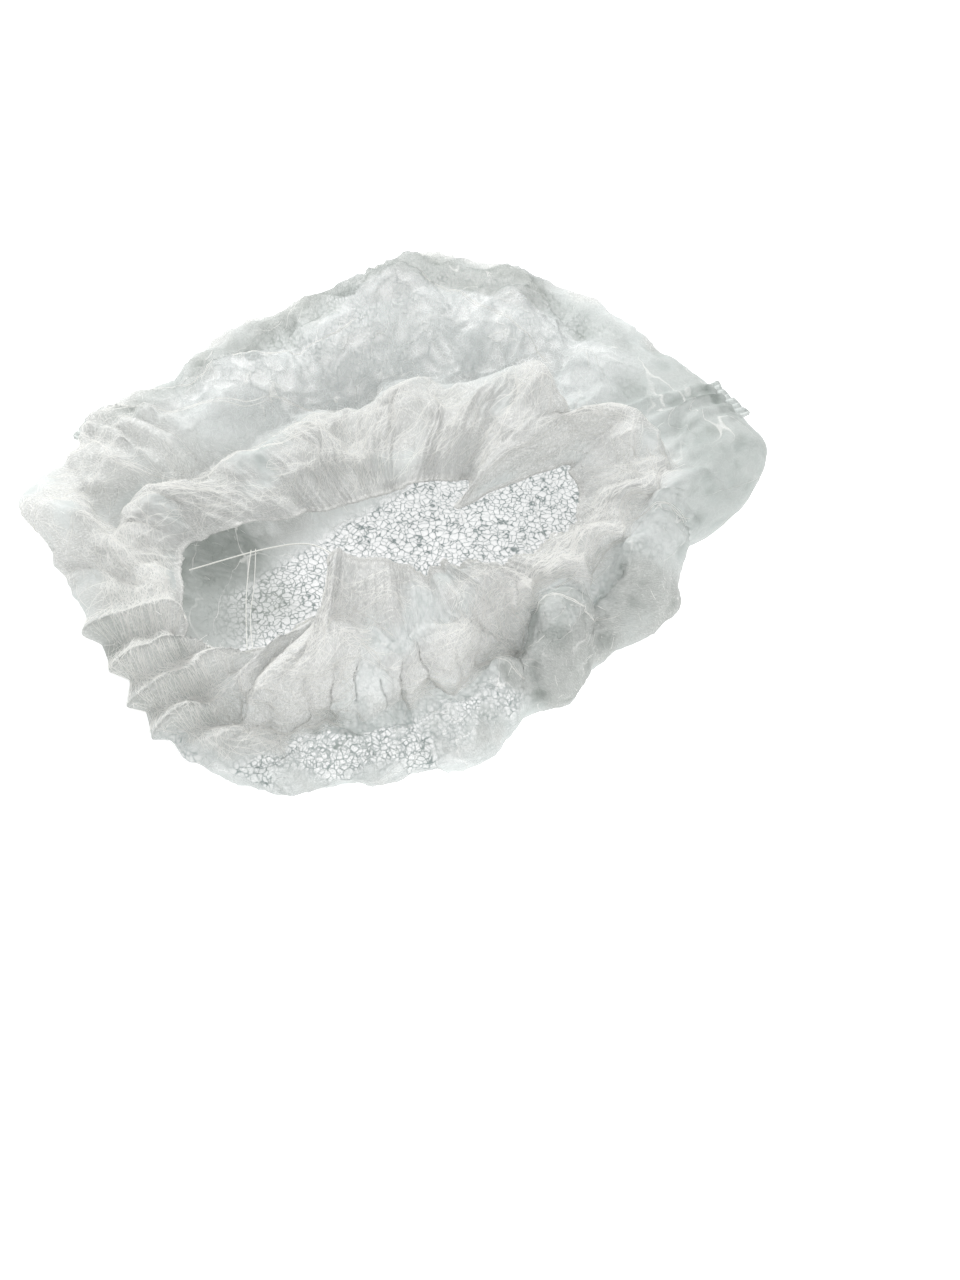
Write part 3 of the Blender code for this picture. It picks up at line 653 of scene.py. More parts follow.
def cloth_grid():
    """The cloth as a grid, with marks that tell the shader what it is like at each point.

    Some marks carry painted light and painted shade. The last two numbers of a ramp over the station are the
    stations between which an effect comes or goes.
    """
    angles = (np.arange(SECTIONS) * 360 / SECTIONS + FIRST_ANGLE) % 360
    rows = [np.linspace(0, FOOT, FLOOR_ROWS + 1)[1:], np.linspace(FOOT, HEM, CLOTH_ROWS + 1)[1:]]
    stations = np.concatenate(rows)
    angle, station = angles[:, None], stations[None, :]
    smooth = folded_cloth(angles, stations)
    pleated = within(angle, PLEAT_MIDDLE, 0.8 * PLEAT_HALF, 1.2 * PLEAT_HALF)
    petal = within(angle, PETAL_MIDDLE, 0.6 * PETAL_HALF, 1.2 * PETAL_HALF)
    left = within(angle, FIBROUS_SIDE, *FIBROUS_REACH)
    behind = within(angle, CREASED_SIDE, *CREASED_REACH)

    # crumples stand out of the smooth form, and gathers wander sideways, less so in the pleats and the petal
    reliefs = [facets(smooth, row.size, row.start) for row in CRUMPLES]
    large, small = reliefs[:2]
    total = sum((CRUMPLE_LEVEL - relief) * row.share for relief, row in zip(reliefs, CRUMPLES))
    crumple = CRUMPLE_DEPTH * total
    crumple = crumple * (1 + patch_share(CRISP_PATCHES, angle, station))
    calm = 1 - 0.6 * petal * (1 - ramp(station, 3.0, 4.4))
    free = ramp(station, 1.0, 1.6) * (1 - 0.35 * ramp(station, 4.4, 5.6)) * (1 - 0.9 * pleated) * calm
    relief = crumple * free + fine_gathers(angle, station) * (1 - 0.8 * pleated)
    points = smooth + grid_normals(smooth) * relief[:, :, None]
    moves = tangle(smooth)
    loose = ramp(station, 2.2, 4.0) * (1 - 0.55 * ramp(station, 5.2, 6.0)) * (1 - 0.93 * pleated) * calm
    points = points + moves * loose[:, :, None]

    # the cloth rests on the floor in low crinkles, and lifts off it in wrinkles beyond a line
    ridges = FLOOR_RIDGE * np.maximum(0.55 - large, 0) + FLOOR_RIDGE * np.maximum(0.4 - small, 0)
    resting = stations <= FOOT
    points[:, resting, 2] = ridges[:, resting]
    way = math.radians(LIFT_WAY)
    offset = smooth[:, :, :2] - LIFT_PLACE
    beyond = offset[:, :, 0] * math.cos(way) + offset[:, :, 1] * math.sin(way)
    lifted = ramp(beyond, 0, LIFT_BLUR)
    points[:, :, 2] += LIFT_SLOPE * np.maximum(beyond, 0) * (1 - ramp(station, 1.0, 1.9))
    wrinkled = lifted * (1 - ramp(station, 1.0, 1.5)) * ramp(beyond, 0, LIFT_FULL)
    points[:, :, 2] += LIFT_WRINKLE * wrinkled * ((1 - large) * 0.7 + (1 - small) * 0.3)
    points[:, :, 2] = np.maximum(points[:, :, 2], 0.0)

    # marks: painted light on single layers, gathered fibres, painted shade and close layers, and creases
    cloud = clouds(smooth, CLOUD_SIZE, CLOUD_START)
    floor = (1 - ramp(station, 1.0, 1.3)) * (1 - lifted)
    bright = np.maximum(patch_share(BRIGHT_PATCHES, angle, station), floor)
    dulled = 0.5 * (1 - 0.7 * behind) * ramp(station, 1.3, 1.8) * ramp(cloud, 0.45, 0.7)
    bright = np.minimum(bright, 1) * (1 - dulled)
    start = 3.1 - 1.0 * left + 0.9 * behind
    fibrous = np.maximum(patch_share(FIBROUS_PATCHES, angle, station), ramp(station, start, start + 1.3))
    fibrous = ramp(fibrous + 1.8 * (cloud - 0.5), 0.2, 0.95) * ramp(station, 1.0, 1.15)
    fibrous = fibrous * (1 - 0.85 * petal * (1 - ramp(station, 3.4, 4.4)))
    fibrous = fibrous * (1 - 0.92 * behind * ramp(station, 2.5, 2.8) * (1 - ramp(station, 4.0, 4.5)))
    fibrous = np.maximum(fibrous, (0.25 + 0.6 * ramp(cloud, 0.4, 0.7)) * wrinkled)
    # painted shade: the crumples' hollows, the patches and the lifted wall's creases are painted darker
    hollow = 0.55 * ramp(large, 0.25, 0.75) + 0.45 * ramp(small, 0.25, 0.75)
    crease = np.maximum(1 - ramp(small, 0.02, 0.32), 1 - ramp(large, 0.02, 0.2))
    shade_and_layers = patch_share(SHADE_AND_LAYER_PATCHES, angle, station) * (0.7 + 0.8 * hollow)
    shade_and_layers = shade_and_layers + HOLLOW_SHADE * hollow * ramp(station, 1.1, 1.6) * (1 - 0.75 * behind)
    shade_and_layers = np.clip(shade_and_layers + 0.4 * wrinkled * crease, 0, 1)
    marks = {"bright": bright, "fibrous": fibrous, "shade_and_layers": shade_and_layers, "crease": crease}
    marks["blotch"] = clouds(smooth, CLOUD_SIZE, BLOTCH_START)
    marks["wisp"] = wisp_clouds(points, moves)
    return Grid(angles, stations, points, marks)


def new_object(name, data):
    """An object of the scene."""
    made = bpy.data.objects.new(name, data)
    bpy.context.scene.collection.objects.link(made)
    return made


def new_piece(name, points, faces, material, smooth=True):
    """A mesh object with its place in its mesh."""
    mesh = bpy.data.meshes.new(name)
    mesh.from_pydata(np.asarray(points).tolist(), [], faces)
    mesh.materials.append(material)
    if smooth:
        mesh.shade_smooth()
    return new_object(name, mesh)


def plain_mesh(made):
    """The mesh that an object's curve or modifiers give; the object is removed."""
    mesh = bpy.data.meshes.new_from_object(made.evaluated_get(bpy.context.evaluated_depsgraph_get()))
    bpy.data.objects.remove(made)
    return mesh


def set_attribute(mesh, name, kind, values):
    """Stores one value or vector per point."""
    layer = mesh.attributes.new(name, kind, "POINT")
    part = "vector" if kind == "FLOAT_VECTOR" else "value"
    layer.data.foreach_set(part, np.asarray(values, np.float32).ravel())


def set_map(mesh, across, along):
    """A UV map from two values per point; a face that crosses the join takes 1 in place of 0."""
    loops = np.empty(len(mesh.loops), np.int32)
    mesh.loops.foreach_get("vertex_index", loops)
    starts = np.empty(len(mesh.polygons), np.int32)
    mesh.polygons.foreach_get("loop_start", starts)
    u, v = across[loops], along[loops]
    face = np.searchsorted(starts, np.arange(len(loops)), side="right") - 1
    highest = np.maximum.reduceat(u, starts)[face]
    u = np.where(highest - u > 0.5, u + 1, u)
    layer = mesh.uv_layers.new(name="cloth")
    layer.data.foreach_set("uv", np.stack([u, v], axis=1).astype(np.float32).ravel())


def make_cloth(grid, material):
    """The whole crown as one sheet."""
    points = grid.points
    count, rows = points.shape[:2]
    middle = count * rows
    first = np.arange(count) * rows
    after = np.roll(first, -1)
    faces = [(middle, b, a) for a, b in zip(first.tolist(), after.tolist())]
    low, high = np.arange(rows - 1), np.arange(1, rows)
    corners = [first[:, None] + low, after[:, None] + low, after[:, None] + high, first[:, None] + high]
    faces += [tuple(quad) for quad in np.stack(corners, axis=2).reshape(-1, 4).tolist()]
    all_points = np.concatenate([points.reshape(-1, 3), [(-MOUTH_LEFT, -MOUTH_FORWARD, 0.0)]])
    cloth = new_piece("crown_cloth", all_points, faces, material)
    along = np.gradient(points, axis=1)
    along /= np.linalg.norm(along, axis=2, keepdims=True)
    set_attribute(cloth.data, "along", "FLOAT_VECTOR", np.append(along.reshape(-1, 3), [(1, 0, 0)], axis=0))
    for name, values in grid.marks.items():
        set_attribute(cloth.data, name, "FLOAT", np.append(values.ravel(), 1.0 if name == "bright" else 0.0))
    turn = np.repeat((grid.angles - FIRST_ANGLE) % 360 / 360, rows)
    lengths = section_lengths(points).ravel() / SHEET_LENGTH
    set_map(cloth.data, np.append(turn, 0.5), np.append(lengths, 0.0))
    return cloth


def resample(rows, count):
    """A ring of vectors read at evenly spaced places round the ring."""
    places = np.arange(count) * len(rows) / count
    low = places.astype(int)
    t = (places - low)[:, None]
    return rows[low] * (1 - t) + rows[(low + 1) % len(rows)] * t


def smooth_ring(rows, reach):
    """A ring of vectors averaged with its neighbours and made unit length."""
    total = sum(np.roll(rows, k, axis=0) for k in range(-reach, reach + 1))
    return total / np.linalg.norm(total, axis=1, keepdims=True)


def hem_frames(grid):
    """Angle, edge point, way past the edge and outward way of the hem at each of its sections."""
    points = grid.points
    edge = resample(points[:, -1], HEM_SECTIONS)
    along = smooth_ring(resample(points[:, -1] - points[:, -7], HEM_SECTIONS), HEM_SMOOTHING)
    out = smooth_ring(resample(grid_normals(points)[:, -2], HEM_SECTIONS), HEM_SMOOTHING)
    out -= along * (out * along).sum(axis=1, keepdims=True)
    out /= np.linalg.norm(out, axis=1, keepdims=True)
    turn = (grid.angles[0] + np.arange(HEM_SECTIONS) * 360 / HEM_SECTIONS) % 360
    return turn, edge, along, out


def hem_line():
    """The turned hem in section: along the cloth past its edge, round the elastic and back."""
    back = HEM_FOLD - HEM_TURNED
    line = [(back - 0.0012, 0.0004), (back + 0.0010, HEM_ABOVE)]
    middle = HEM_FOLD - HEM_RADIUS
    for i in range(7):
        turn = math.pi * i / 6 - math.pi / 2
        line.append((middle + HEM_RADIUS * math.cos(turn), HEM_ABOVE + HEM_RADIUS * (1 + math.sin(turn))))
    return line + [(HEM_FOLD - HEM_TURNED * 0.8, 0.0013), (back, 0.0010)]


def elastic_line():
    """The elastic thread in section, closed."""
    across, up = HEM_FOLD - HEM_RADIUS - 0.0001, HEM_ABOVE + HEM_RADIUS
    turns = [2 * math.pi * i / 8 for i in range(8)]
    return [(across + ELASTIC_RADIUS * math.cos(t), up + ELASTIC_RADIUS * math.sin(t)) for t in turns]


def strip_faces(count, size, closed):
    """Faces between sections of size points each; closed sections give a tube, with a face at each end."""
    faces = []
    for i in range(count - 1):
        for j in range(size if closed else size - 1):
            k = (j + 1) % size
            faces.append((i * size + j, (i + 1) * size + j, (i + 1) * size + k, i * size + k))
    if closed:
        faces.append(tuple(range(size)))
        faces.append(tuple((count - 1) * size + j for j in range(size - 1, -1, -1)))
    return faces


def sweep(name, frames, line, closed, ribs, material):
    """A section line carried round the mouth, for the sections whose numbers are in frames."""
    turn, edge, along, out = frames
    phase = HEM_RIB_COUNT * np.radians(turn) + 1.4 * np.sin(np.radians(5 * turn))
    rib = ribs * np.abs(np.sin(phase / 2)) - ribs / 2
    rows = [edge + along * (a + 0.7 * rib[:, None]) + out * (b + rib[:, None]) for a, b in line]
    points = np.stack(rows, axis=1).reshape(-1, 3)
    piece = new_piece(name, points, strip_faces(len(turn), len(line), closed), material)
    u = np.repeat(np.linspace(0, HEM_MAP[0], len(turn)), len(line))
    set_map(piece.data, u, np.tile(np.linspace(0, HEM_MAP[1], len(line)), len(turn)))
    set_attribute(piece.data, "fibrous", "FLOAT", np.ones(len(points)))
    return piece


def make_hems(grid, cloth, thread):
    """Front and back hems with their elastic threads, which meet at the mouth's narrow ends."""
    frames = hem_frames(grid)
    made = {}
    for side, start in (("back", 0), ("front", 180)):
        offset = (frames[0] - MOUTH_TURN - start) % 360
        chosen = np.flatnonzero(offset <= 180.2)
        chosen = chosen[np.argsort(offset[chosen])]
        part = [column[chosen] for column in frames]
        made[side + "_hem"] = sweep(side + "_hem_cloth", part, hem_line(), False, HEM_RIB_DEPTH, cloth)
        made[side + "_elastic"] = sweep(side + "_elastic_thread", part, elastic_line(), True, 0.0, thread)
    return made


def make_weld(name, middle, material):
    """The pressed end of the cloth: a short ribbed strip of stacked layers with a stepped edge."""
    offsets = np.linspace(-WELD_HALF_ANGLE, WELD_HALF_ANGLE, WELD_SECTIONS)
    angles = (middle + offsets) % 360
    root, height = folded_sections(angles, np.array([float(WAIST)]))[:, 0].T
    teeth = offsets / WELD_HALF_ANGLE * WELD_TEETH / 2
    step = np.abs((teeth % 1.0) - 0.5) * 2
    end = root + WELD_LENGTH - WELD_NOTCH * 1.6 * step - WELD_OFFSET * (offsets > 0)
    wave = WELD_RIDGE * (np.abs(np.sin(math.pi * teeth * 2)) - 0.5)
    x, y, _ = rays(angles)
    shares = (0.0, 0.25, 0.5, 0.75, 1.0)
    rows = []
    for side in (1, -1):
        for share in shares[::side]:
            distance = root - WELD_LAP + (end - root + WELD_LAP) * share
            thick = WELD_THICK * (0.5 - 0.22 * share + 0.05 * math.cos(4 * math.pi * share))
            rows.append(in_space(distance, height + wave - side * thick, x, y))
    points = np.stack(rows, axis=1).reshape(-1, 3)
    return new_piece(name, points, strip_faces(WELD_SECTIONS, len(rows), True), material)


def colour(text):
    """An sRGB hex value as linear red, green, blue and alpha."""
    channels = [int(text[i : i + 2], 16) / 255 for i in (1, 3, 5)]
    return (*[c / 12.92 if c <= 0.04045 else ((c + 0.055) / 1.055) ** 2.4 for c in channels], 1.0)


def add(tree, kind, inputs=None, **settings):
    """Adds a node with its settings; inputs are sockets to link or values to set, by name or number."""
    node = tree.nodes.new(kind)
    for key, value in settings.items():
        setattr(node, key, value)
    for key, value in (inputs or {}).items():
        socket = node.inputs[key]
        if isinstance(value, bpy.types.NodeSocket):
            tree.links.new(value, socket)
        else:
            socket.default_value = value
    return node


def new_material(name):
    """A material with its node tree, the place on the object that its patterns use, and its output node."""
    material = bpy.data.materials.new(name)
    material.use_nodes = True
    tree = material.node_tree
    tree.nodes.clear()
    place = add(tree, "ShaderNodeTexCoord").outputs["Object"]
    return material, tree, place, add(tree, "ShaderNodeOutputMaterial")


def coats(tree, value, layers, kind="RGBA"):
    """A colour or a value with others laid over it: each layer's mark says where, its number how strongly."""
    below, above, out = (6, 7, 2) if kind == "RGBA" else (2, 3, 0)
    for mark, strength, over in layers:
        share = add(tree, "ShaderNodeMath", {0: mark, 1: strength}, operation="MULTIPLY").outputs[0]
        value = add(tree, "ShaderNodeMix", {0: share, below: value, above: over}, data_type=kind).outputs[out]
    return value


def make_nonwoven():
    """Spunbond polypropylene, 14 g/m2: a matt, half see-through web that a roller pressed into fine cells.

    A single layer on a white surface is bright with grey cracks between its cells; layers seen through each
    other are grey-green; and drawn into gathers it turns pale and fibrous. Light and shade are painted into
    the colour too: painted light makes single layers near white, creases get painted shade on them and a
    painted highlight on layered cloth, and painted shade darkens hollows, the lifted inner wall and
    close layers.
    """
    material, tree, place, output = new_material("spunbond polypropylene nonwoven")
    names = ("bright", "fibrous", "shade_and_layers", "blotch", "crease", "wisp")
    marks = [add(tree, "ShaderNodeAttribute", attribute_name=name).outputs["Fac"] for name in names]
    bright, fibrous, shade_and_layers, blotch, crease, wisp = marks

    # pressed cells of about 2.4 mm with cracks of 0.2 mm between them
    inputs = {"Vector": place, "Scale": 230.0, "Detail": 1.0}
    wander = add(tree, "ShaderNodeTexNoise", inputs).outputs["Color"]
    inputs = {0: wander, 1: (0.0036, 0.0036, 0.0036), 2: place}
    bent = add(tree, "ShaderNodeVectorMath", inputs, operation="MULTIPLY_ADD").outputs[0]
    cells = add(tree, "ShaderNodeTexVoronoi", {"Vector": bent, "Scale": 430.0}, feature="DISTANCE_TO_EDGE")

    # fuzz of gathered fibres, 0.5 mm apart and about 1.2 mm long, that lies mostly along the cloth's sections
    sheet = add(tree, "ShaderNodeUVMap", uv_map="cloth").outputs[0]
    scale = (SHEET_AROUND * 1000 / 0.5, SHEET_LENGTH * 1000 / 1.2, 1.0)
    lay = add(tree, "ShaderNodeMapping", {"Vector": sheet, "Scale": scale}).outputs[0]
    streak = add(tree, "ShaderNodeTexNoise", {"Vector": lay, "Scale": 1.0, "Detail": 2.0}).outputs[0]

    # wisps: thin pale lines where a stretched cloud passes its middle value
    off = add(tree, "ShaderNodeMath", {0: wisp, 1: 0.5}, operation="SUBTRACT").outputs[0]
    off = add(tree, "ShaderNodeMath", {0: off}, operation="ABSOLUTE").outputs[0]

    # each of these goes smoothly from its third number to its fourth, from its first to its second
    ranges = (
        (cells.outputs["Distance"], 0.0, 0.115, 1.0, 0.0),
        (streak, 0.42, 0.68, 0.0, 1.0),
        (off, 0.004, 0.020, 1.0, 0.0),
        (blotch, 0.2, 0.8, 0.0, 1.0),
        (bright, 0.84, 0.96, 0.0, 1.0),
    )
    smooth = {"interpolation_type": "SMOOTHSTEP"}
    eased = [add(tree, "ShaderNodeMapRange", dict(enumerate(row)), **smooth).outputs[0] for row in ranges]
    crack, streak, thin, patch, crisp = eased
    wisp = add(tree, "ShaderNodeMath", {0: thin, 1: patch}, operation="MULTIPLY").outputs[0]

    # painted light whitens a single layer; its creases get painted shade, layered cloth's a painted highlight
    layers = [(blotch, 1.0, colour("#E8ECEB")), (crack, 0.28, colour("#A8B4B0"))]
    layered = coats(tree, colour("#CDD5D3"), [*layers, (crease, 0.5, colour("#EDEFEE"))])
    pressed = coats(tree, colour("#FDFDFD"), [(crack, 1.0, colour("#859292"))])
    single = coats(tree, colour("#FEFEFE"), [(crease, 0.9, colour("#BABFBF")), (crisp, 1.0, pressed)])
    layers = [(streak, 1.0, colour("#FFFFFE")), (blotch, 0.3, colour("#D2D5D3"))]
    drawn = coats(tree, colour("#DDDEDB"), layers)
    layers = [(bright, 1.0, single), (fibrous, 1.0, drawn)]
    # painted shade: a dark grey laid over shaded places and close layers; pale wisps over it
    layers += [(shade_and_layers, 1.0, colour("#8E9690")), (wisp, 0.8, colour("#FAFAF7"))]
    shade = coats(tree, layered, layers)

    single = coats(tree, 0.42, [(crack, 1.0, 0.93)], "FLOAT")
    drawn = coats(tree, 0.84, [(streak, 1.0, 0.97)], "FLOAT")
    solid = coats(tree, 0.70, [(crack, 1.0, 0.82), (bright, 1.0, single), (fibrous, 1.0, drawn)], "FLOAT")
    rough = coats(tree, 0.62, [(streak, 1.0, 0.80)], "FLOAT")
    through = coats(tree, 0.32, [(fibrous, 1.0, 0.22)], "FLOAT")

    # fuzz stands up 0.22 mm and wisps 0.3 mm
    fuzz = add(tree, "ShaderNodeMath", {0: streak, 1: fibrous}, operation="MULTIPLY").outputs[0]
    fuzz = add(tree, "ShaderNodeMath", {0: fuzz, 1: 0.00022}, operation="MULTIPLY").outputs[0]
    height = add(tree, "ShaderNodeMath", {0: wisp, 1: 0.0003, 2: fuzz}, operation="MULTIPLY_ADD").outputs[0]
    bump = add(tree, "ShaderNodeBump", {"Height": height, "Strength": 0.9, "Distance": 1.0}).outputs[0]
    inputs = {"Base Color": shade, "Roughness": rough, "Normal": bump, "IOR": 1.49, "Sheen Weight": 0.15}
    face = add(tree, "ShaderNodeBsdfPrincipled", inputs).outputs[0]
    glow = add(tree, "ShaderNodeBsdfTranslucent", {"Color": shade, "Normal": bump}).outputs[0]
    web = add(tree, "ShaderNodeMixShader", {0: through, 1: face, 2: glow}).outputs[0]
    clear = add(tree, "ShaderNodeBsdfTransparent").outputs[0]
    surface = add(tree, "ShaderNodeMixShader", {0: solid, 1: clear, 2: web}).outputs[0]
    tree.links.new(surface, output.inputs["Surface"])
    return material


def make_thread_material():
    """Covered elastic: natural latex wound with white polyester, so it is matt and finely ribbed across."""
    material, tree, place, output = new_material("polyester covered elastic")
    inputs = {"Vector": place, "Scale": 900.0, "Distortion": 1.5}
    winding = add(tree, "ShaderNodeTexWave", inputs, bands_direction="DIAGONAL").outputs[1]
    tint = coats(tree, colour("#D6D6D0"), [(winding, 1.0, colour("#F1F1EC"))])
    bump = add(tree, "ShaderNodeBump", {"Height": winding, "Strength": 0.5, "Distance": 0.0001}).outputs[0]
    inputs = {"Base Color": tint, "Roughness": 0.62, "Normal": bump, "IOR": 1.5}
    face = add(tree, "ShaderNodeBsdfPrincipled", inputs).outputs[0]
    tree.links.new(face, output.inputs["Surface"])
    return material


def make_weld_material():
    """Layers of the nonwoven melted together by a hot bar: denser, a little glossy, with fine dots."""
    material, tree, place, output = new_material("heat welded nonwoven")
    inputs = {"Vector": place, "Scale": 800.0, "Randomness": 0.25}
    dots = add(tree, "ShaderNodeTexVoronoi", inputs).outputs["Distance"]
    cloud = add(tree, "ShaderNodeTexNoise", {"Vector": place, "Scale": 160.0, "Detail": 3.0}).outputs[0]
    ranges = ((dots, 0.2, 0.5, 0.0, 1.0), (cloud, 0.3, 0.7, 0.38, 0.6))
    smooth = {"interpolation_type": "SMOOTHSTEP"}
    eased = [add(tree, "ShaderNodeMapRange", dict(enumerate(row)), **smooth).outputs[0] for row in ranges]
    dent, rough = eased
    tint = coats(tree, colour("#AEB7B4"), [(cloud, 1.0, colour("#D3D8D5")), (dent, 0.4, colour("#E4E8E6"))])
    bump = add(tree, "ShaderNodeBump", {"Height": dent, "Strength": 0.6, "Distance": 0.0002}).outputs[0]
    inputs = {"Base Color": tint, "Roughness": rough, "Normal": bump, "IOR": 1.49}
    face = add(tree, "ShaderNodeBsdfPrincipled", inputs).outputs[0]
    clear = add(tree, "ShaderNodeBsdfTransparent").outputs[0]
    surface = add(tree, "ShaderNodeMixShader", {0: 0.9, 1: clear, 2: face}).outputs[0]
    tree.links.new(surface, output.inputs["Surface"])
    return material


def make_fibre_material():
    """Single polypropylene filaments that stand off the web: white and soft, lit through by the floor."""
    material, tree, place, output = new_material("loose polypropylene fibre")
    cloud = add(tree, "ShaderNodeTexNoise", {"Vector": place, "Scale": 300.0}).outputs[0]
    tint = coats(tree, colour("#F0F0EC"), [(cloud, 1.0, colour("#FFFFFD"))])
    inputs = {"Base Color": tint, "Roughness": 0.6, "IOR": 1.49}
    face = add(tree, "ShaderNodeBsdfPrincipled", inputs).outputs[0]
    glow = add(tree, "ShaderNodeBsdfTranslucent", {"Color": tint}).outputs[0]
    surface = add(tree, "ShaderNodeMixShader", {0: 0.45, 1: face, 2: glow}).outputs[0]
    tree.links.new(surface, output.inputs["Surface"])
    return material


def new_tree(name, sizes):
    """A Geometry Nodes tree with inputs for a geometry, its sizes and a material, and what it is given."""
    tree = bpy.data.node_groups.new(name, "GeometryNodeTree")
    for socket, kind in (("Geometry", "Geometry"), *sizes, ("Material", "Material")):
        tree.interface.new_socket(socket, in_out="INPUT", socket_type="NodeSocket" + kind)
    tree.interface.new_socket("Geometry", in_out="OUTPUT", socket_type="NodeSocketGeometry")
    return tree, add(tree, "NodeGroupInput").outputs


def close_tree(tree, geometry, material):
    """Makes the geometry real, gives it the material and sends it out of the tree."""
    real = add(tree, "GeometryNodeRealizeInstances", {"Geometry": geometry}).outputs[0]
    dressed = add(tree, "GeometryNodeSetMaterial", {"Geometry": real, "Material": material}).outputs[0]
    add(tree, "NodeGroupOutput", {0: dressed})
    return tree


def fibre_tree():
    """Fibres that lie on a cloth: ribbons set at random places, turned along the cloth's sections."""
    sizes = [(name, "Float") for name in ("Density", "Length", "Width", "Sway")]
    tree, given = new_tree("fibres on cloth", [*sizes, ("Seed", "Int")])
    length, width, sway, seed = (given[name] for name in ("Length", "Width", "Sway", "Seed"))
    half = add(tree, "ShaderNodeMath", {0: length, 1: 0.5}, operation="MULTIPLY").outputs[0]
    bend = add(tree, "ShaderNodeMath", {0: length, 1: 0.22}, operation="MULTIPLY").outputs[0]
    middle = add(tree, "ShaderNodeCombineXYZ", {0: bend, 2: half}).outputs[0]
    end = add(tree, "ShaderNodeCombineXYZ", {2: length}).outputs[0]
    inputs = {"Resolution": 4, "Start": (0, 0, 0), "Middle": middle, "End": end}
    line = add(tree, "GeometryNodeCurveQuadraticBezier", inputs).outputs[0]
    across = add(tree, "ShaderNodeCombineXYZ", {0: width}).outputs[0]
    flat = add(tree, "GeometryNodeCurvePrimitiveLine", {"Start": (0, 0, 0), "End": across}).outputs[0]
    ribbon = add(tree, "GeometryNodeCurveToMesh", {"Curve": line, "Profile Curve": flat}).outputs[0]
    where = add(tree, "GeometryNodeInputNamedAttribute", {"Name": "fluff"}, data_type="FLOAT").outputs[0]
    density = add(tree, "ShaderNodeMath", {0: where, 1: given["Density"]}, operation="MULTIPLY").outputs[0]
    inputs = {"Mesh": given["Geometry"], "Density": density, "Seed": seed}
    spots = add(tree, "GeometryNodeDistributePointsOnFaces", inputs, distribute_method="RANDOM").outputs[0]
    along = add(tree, "GeometryNodeInputNamedAttribute", {"Name": "along"}, data_type="FLOAT_VECTOR")
    inputs = {"Vector": along.outputs[0]}
    turned = add(tree, "FunctionNodeAlignRotationToVector", inputs, axis="Z").outputs[0]
    low = add(tree, "ShaderNodeMath", {0: sway, 1: -1.0}, operation="MULTIPLY").outputs[0]
    least = add(tree, "ShaderNodeCombineXYZ", {0: low, 1: low, 2: -3.1416}).outputs[0]
    most = add(tree, "ShaderNodeCombineXYZ", {0: sway, 1: sway, 2: 3.1416}).outputs[0]
    inputs = {"Min": least, "Max": most, "Seed": seed}
    random_turn = add(tree, "FunctionNodeRandomValue", inputs, data_type="FLOAT_VECTOR").outputs[0]
    turn = add(tree, "FunctionNodeEulerToRotation", {0: random_turn}).outputs[0]
    inputs = {"Rotation": turned, "Rotate By": turn}
    shaken = add(tree, "FunctionNodeRotateRotation", inputs, rotation_space="LOCAL").outputs[0]
    size = add(tree, "FunctionNodeRandomValue", {2: 0.5, 3: 1.3, "Seed": seed}, data_type="FLOAT").outputs[1]
    inputs = {"Points": spots, "Instance": ribbon, "Rotation": shaken, "Scale": size}
    placed = add(tree, "GeometryNodeInstanceOnPoints", inputs).outputs[0]
    return close_tree(tree, placed, given["Material"])


def grow_fibres(name, cloth, fluff, tree, values):
    """A piece of fibres grown on a copy of the cloth where fluff, one value per point, is above 0."""
    host = new_object(name + "_host", cloth.data.copy())
    set_attribute(host.data, "fluff", "FLOAT", fluff)
    return run_tree(name, host, tree, values)


def on_cloth(grid, angle, station, above):
    """The point of the cloth at an angle and a station, and a little above it."""
    angles, stations, points = grid[:3]
    around = ((angle - angles[0]) % 360) / 360 * len(angles)
    along = float(np.interp(station, stations, np.arange(len(stations))))
    i, j = int(around), min(int(along), len(stations) - 2)
    t, u = around - i, along - j
    after = (i + 1) % len(angles)
    a, b, c, d = points[i, j], points[after, j], points[i, j + 1], points[after, j + 1]
    way = np.cross(b - a, c - a)
    way = way / max(float(np.linalg.norm(way)), 1e-9)
    return (a * (1 - t) + b * t) * (1 - u) + (c * (1 - t) + d * t) * u + way * above


def how_fibrous(grid, angle, station):
    """How fibrous the cloth is at an angle and a station."""
    row = int(((angle - grid.angles[0]) % 360) / 360 * SECTIONS)
    return grid.marks["fibrous"][row, int(np.searchsorted(grid.stations, station))]


def strand_paths(grid):
    """Fine strands that lie on the cloth where it is fibrous, mostly along the cap: lists of points."""
    chance = random.Random(STRAND_SEED)
    paths = []
    while len(paths) < STRAND_COUNT:
        angle, station = chance.uniform(0, 360), chance.uniform(*STRAND_START)
        lowest = FIBROUS_LOWEST if abs(angle_gap(angle, FIBROUS_SIDE)) < STRAND_SIDE else SMOOTH_LOWEST
        length, lean = chance.uniform(*STRAND_LENGTH), chance.gauss(0, 0.6)
        bend, wave = chance.gauss(0, 0.6), chance.uniform(0, 2 * math.pi)
        if chance.random() > how_fibrous(grid, angle, station) ** 5:
            continue
        path = []
        for step in range(STRAND_STEPS + 1):
            if not lowest < station < STRAND_HIGHEST or how_fibrous(grid, angle, station) < STRAND_LEAST:
                break
            share = step / STRAND_STEPS
            point = on_cloth(grid, angle, station, STRAND_ABOVE)
            path.append(point)
            reach = math.hypot(point[0] + MOUTH_LEFT, point[1] + MOUTH_FORWARD)
            way = lean + bend * share + 0.35 * math.sin(wave + 5 * share)
            angle += math.degrees(length / STRAND_STEPS * math.cos(way) / reach)
            station += length / STRAND_STEPS * math.sin(way) / STATION_LENGTH
        if len(path) > 3:
            paths.append(path)
    return paths


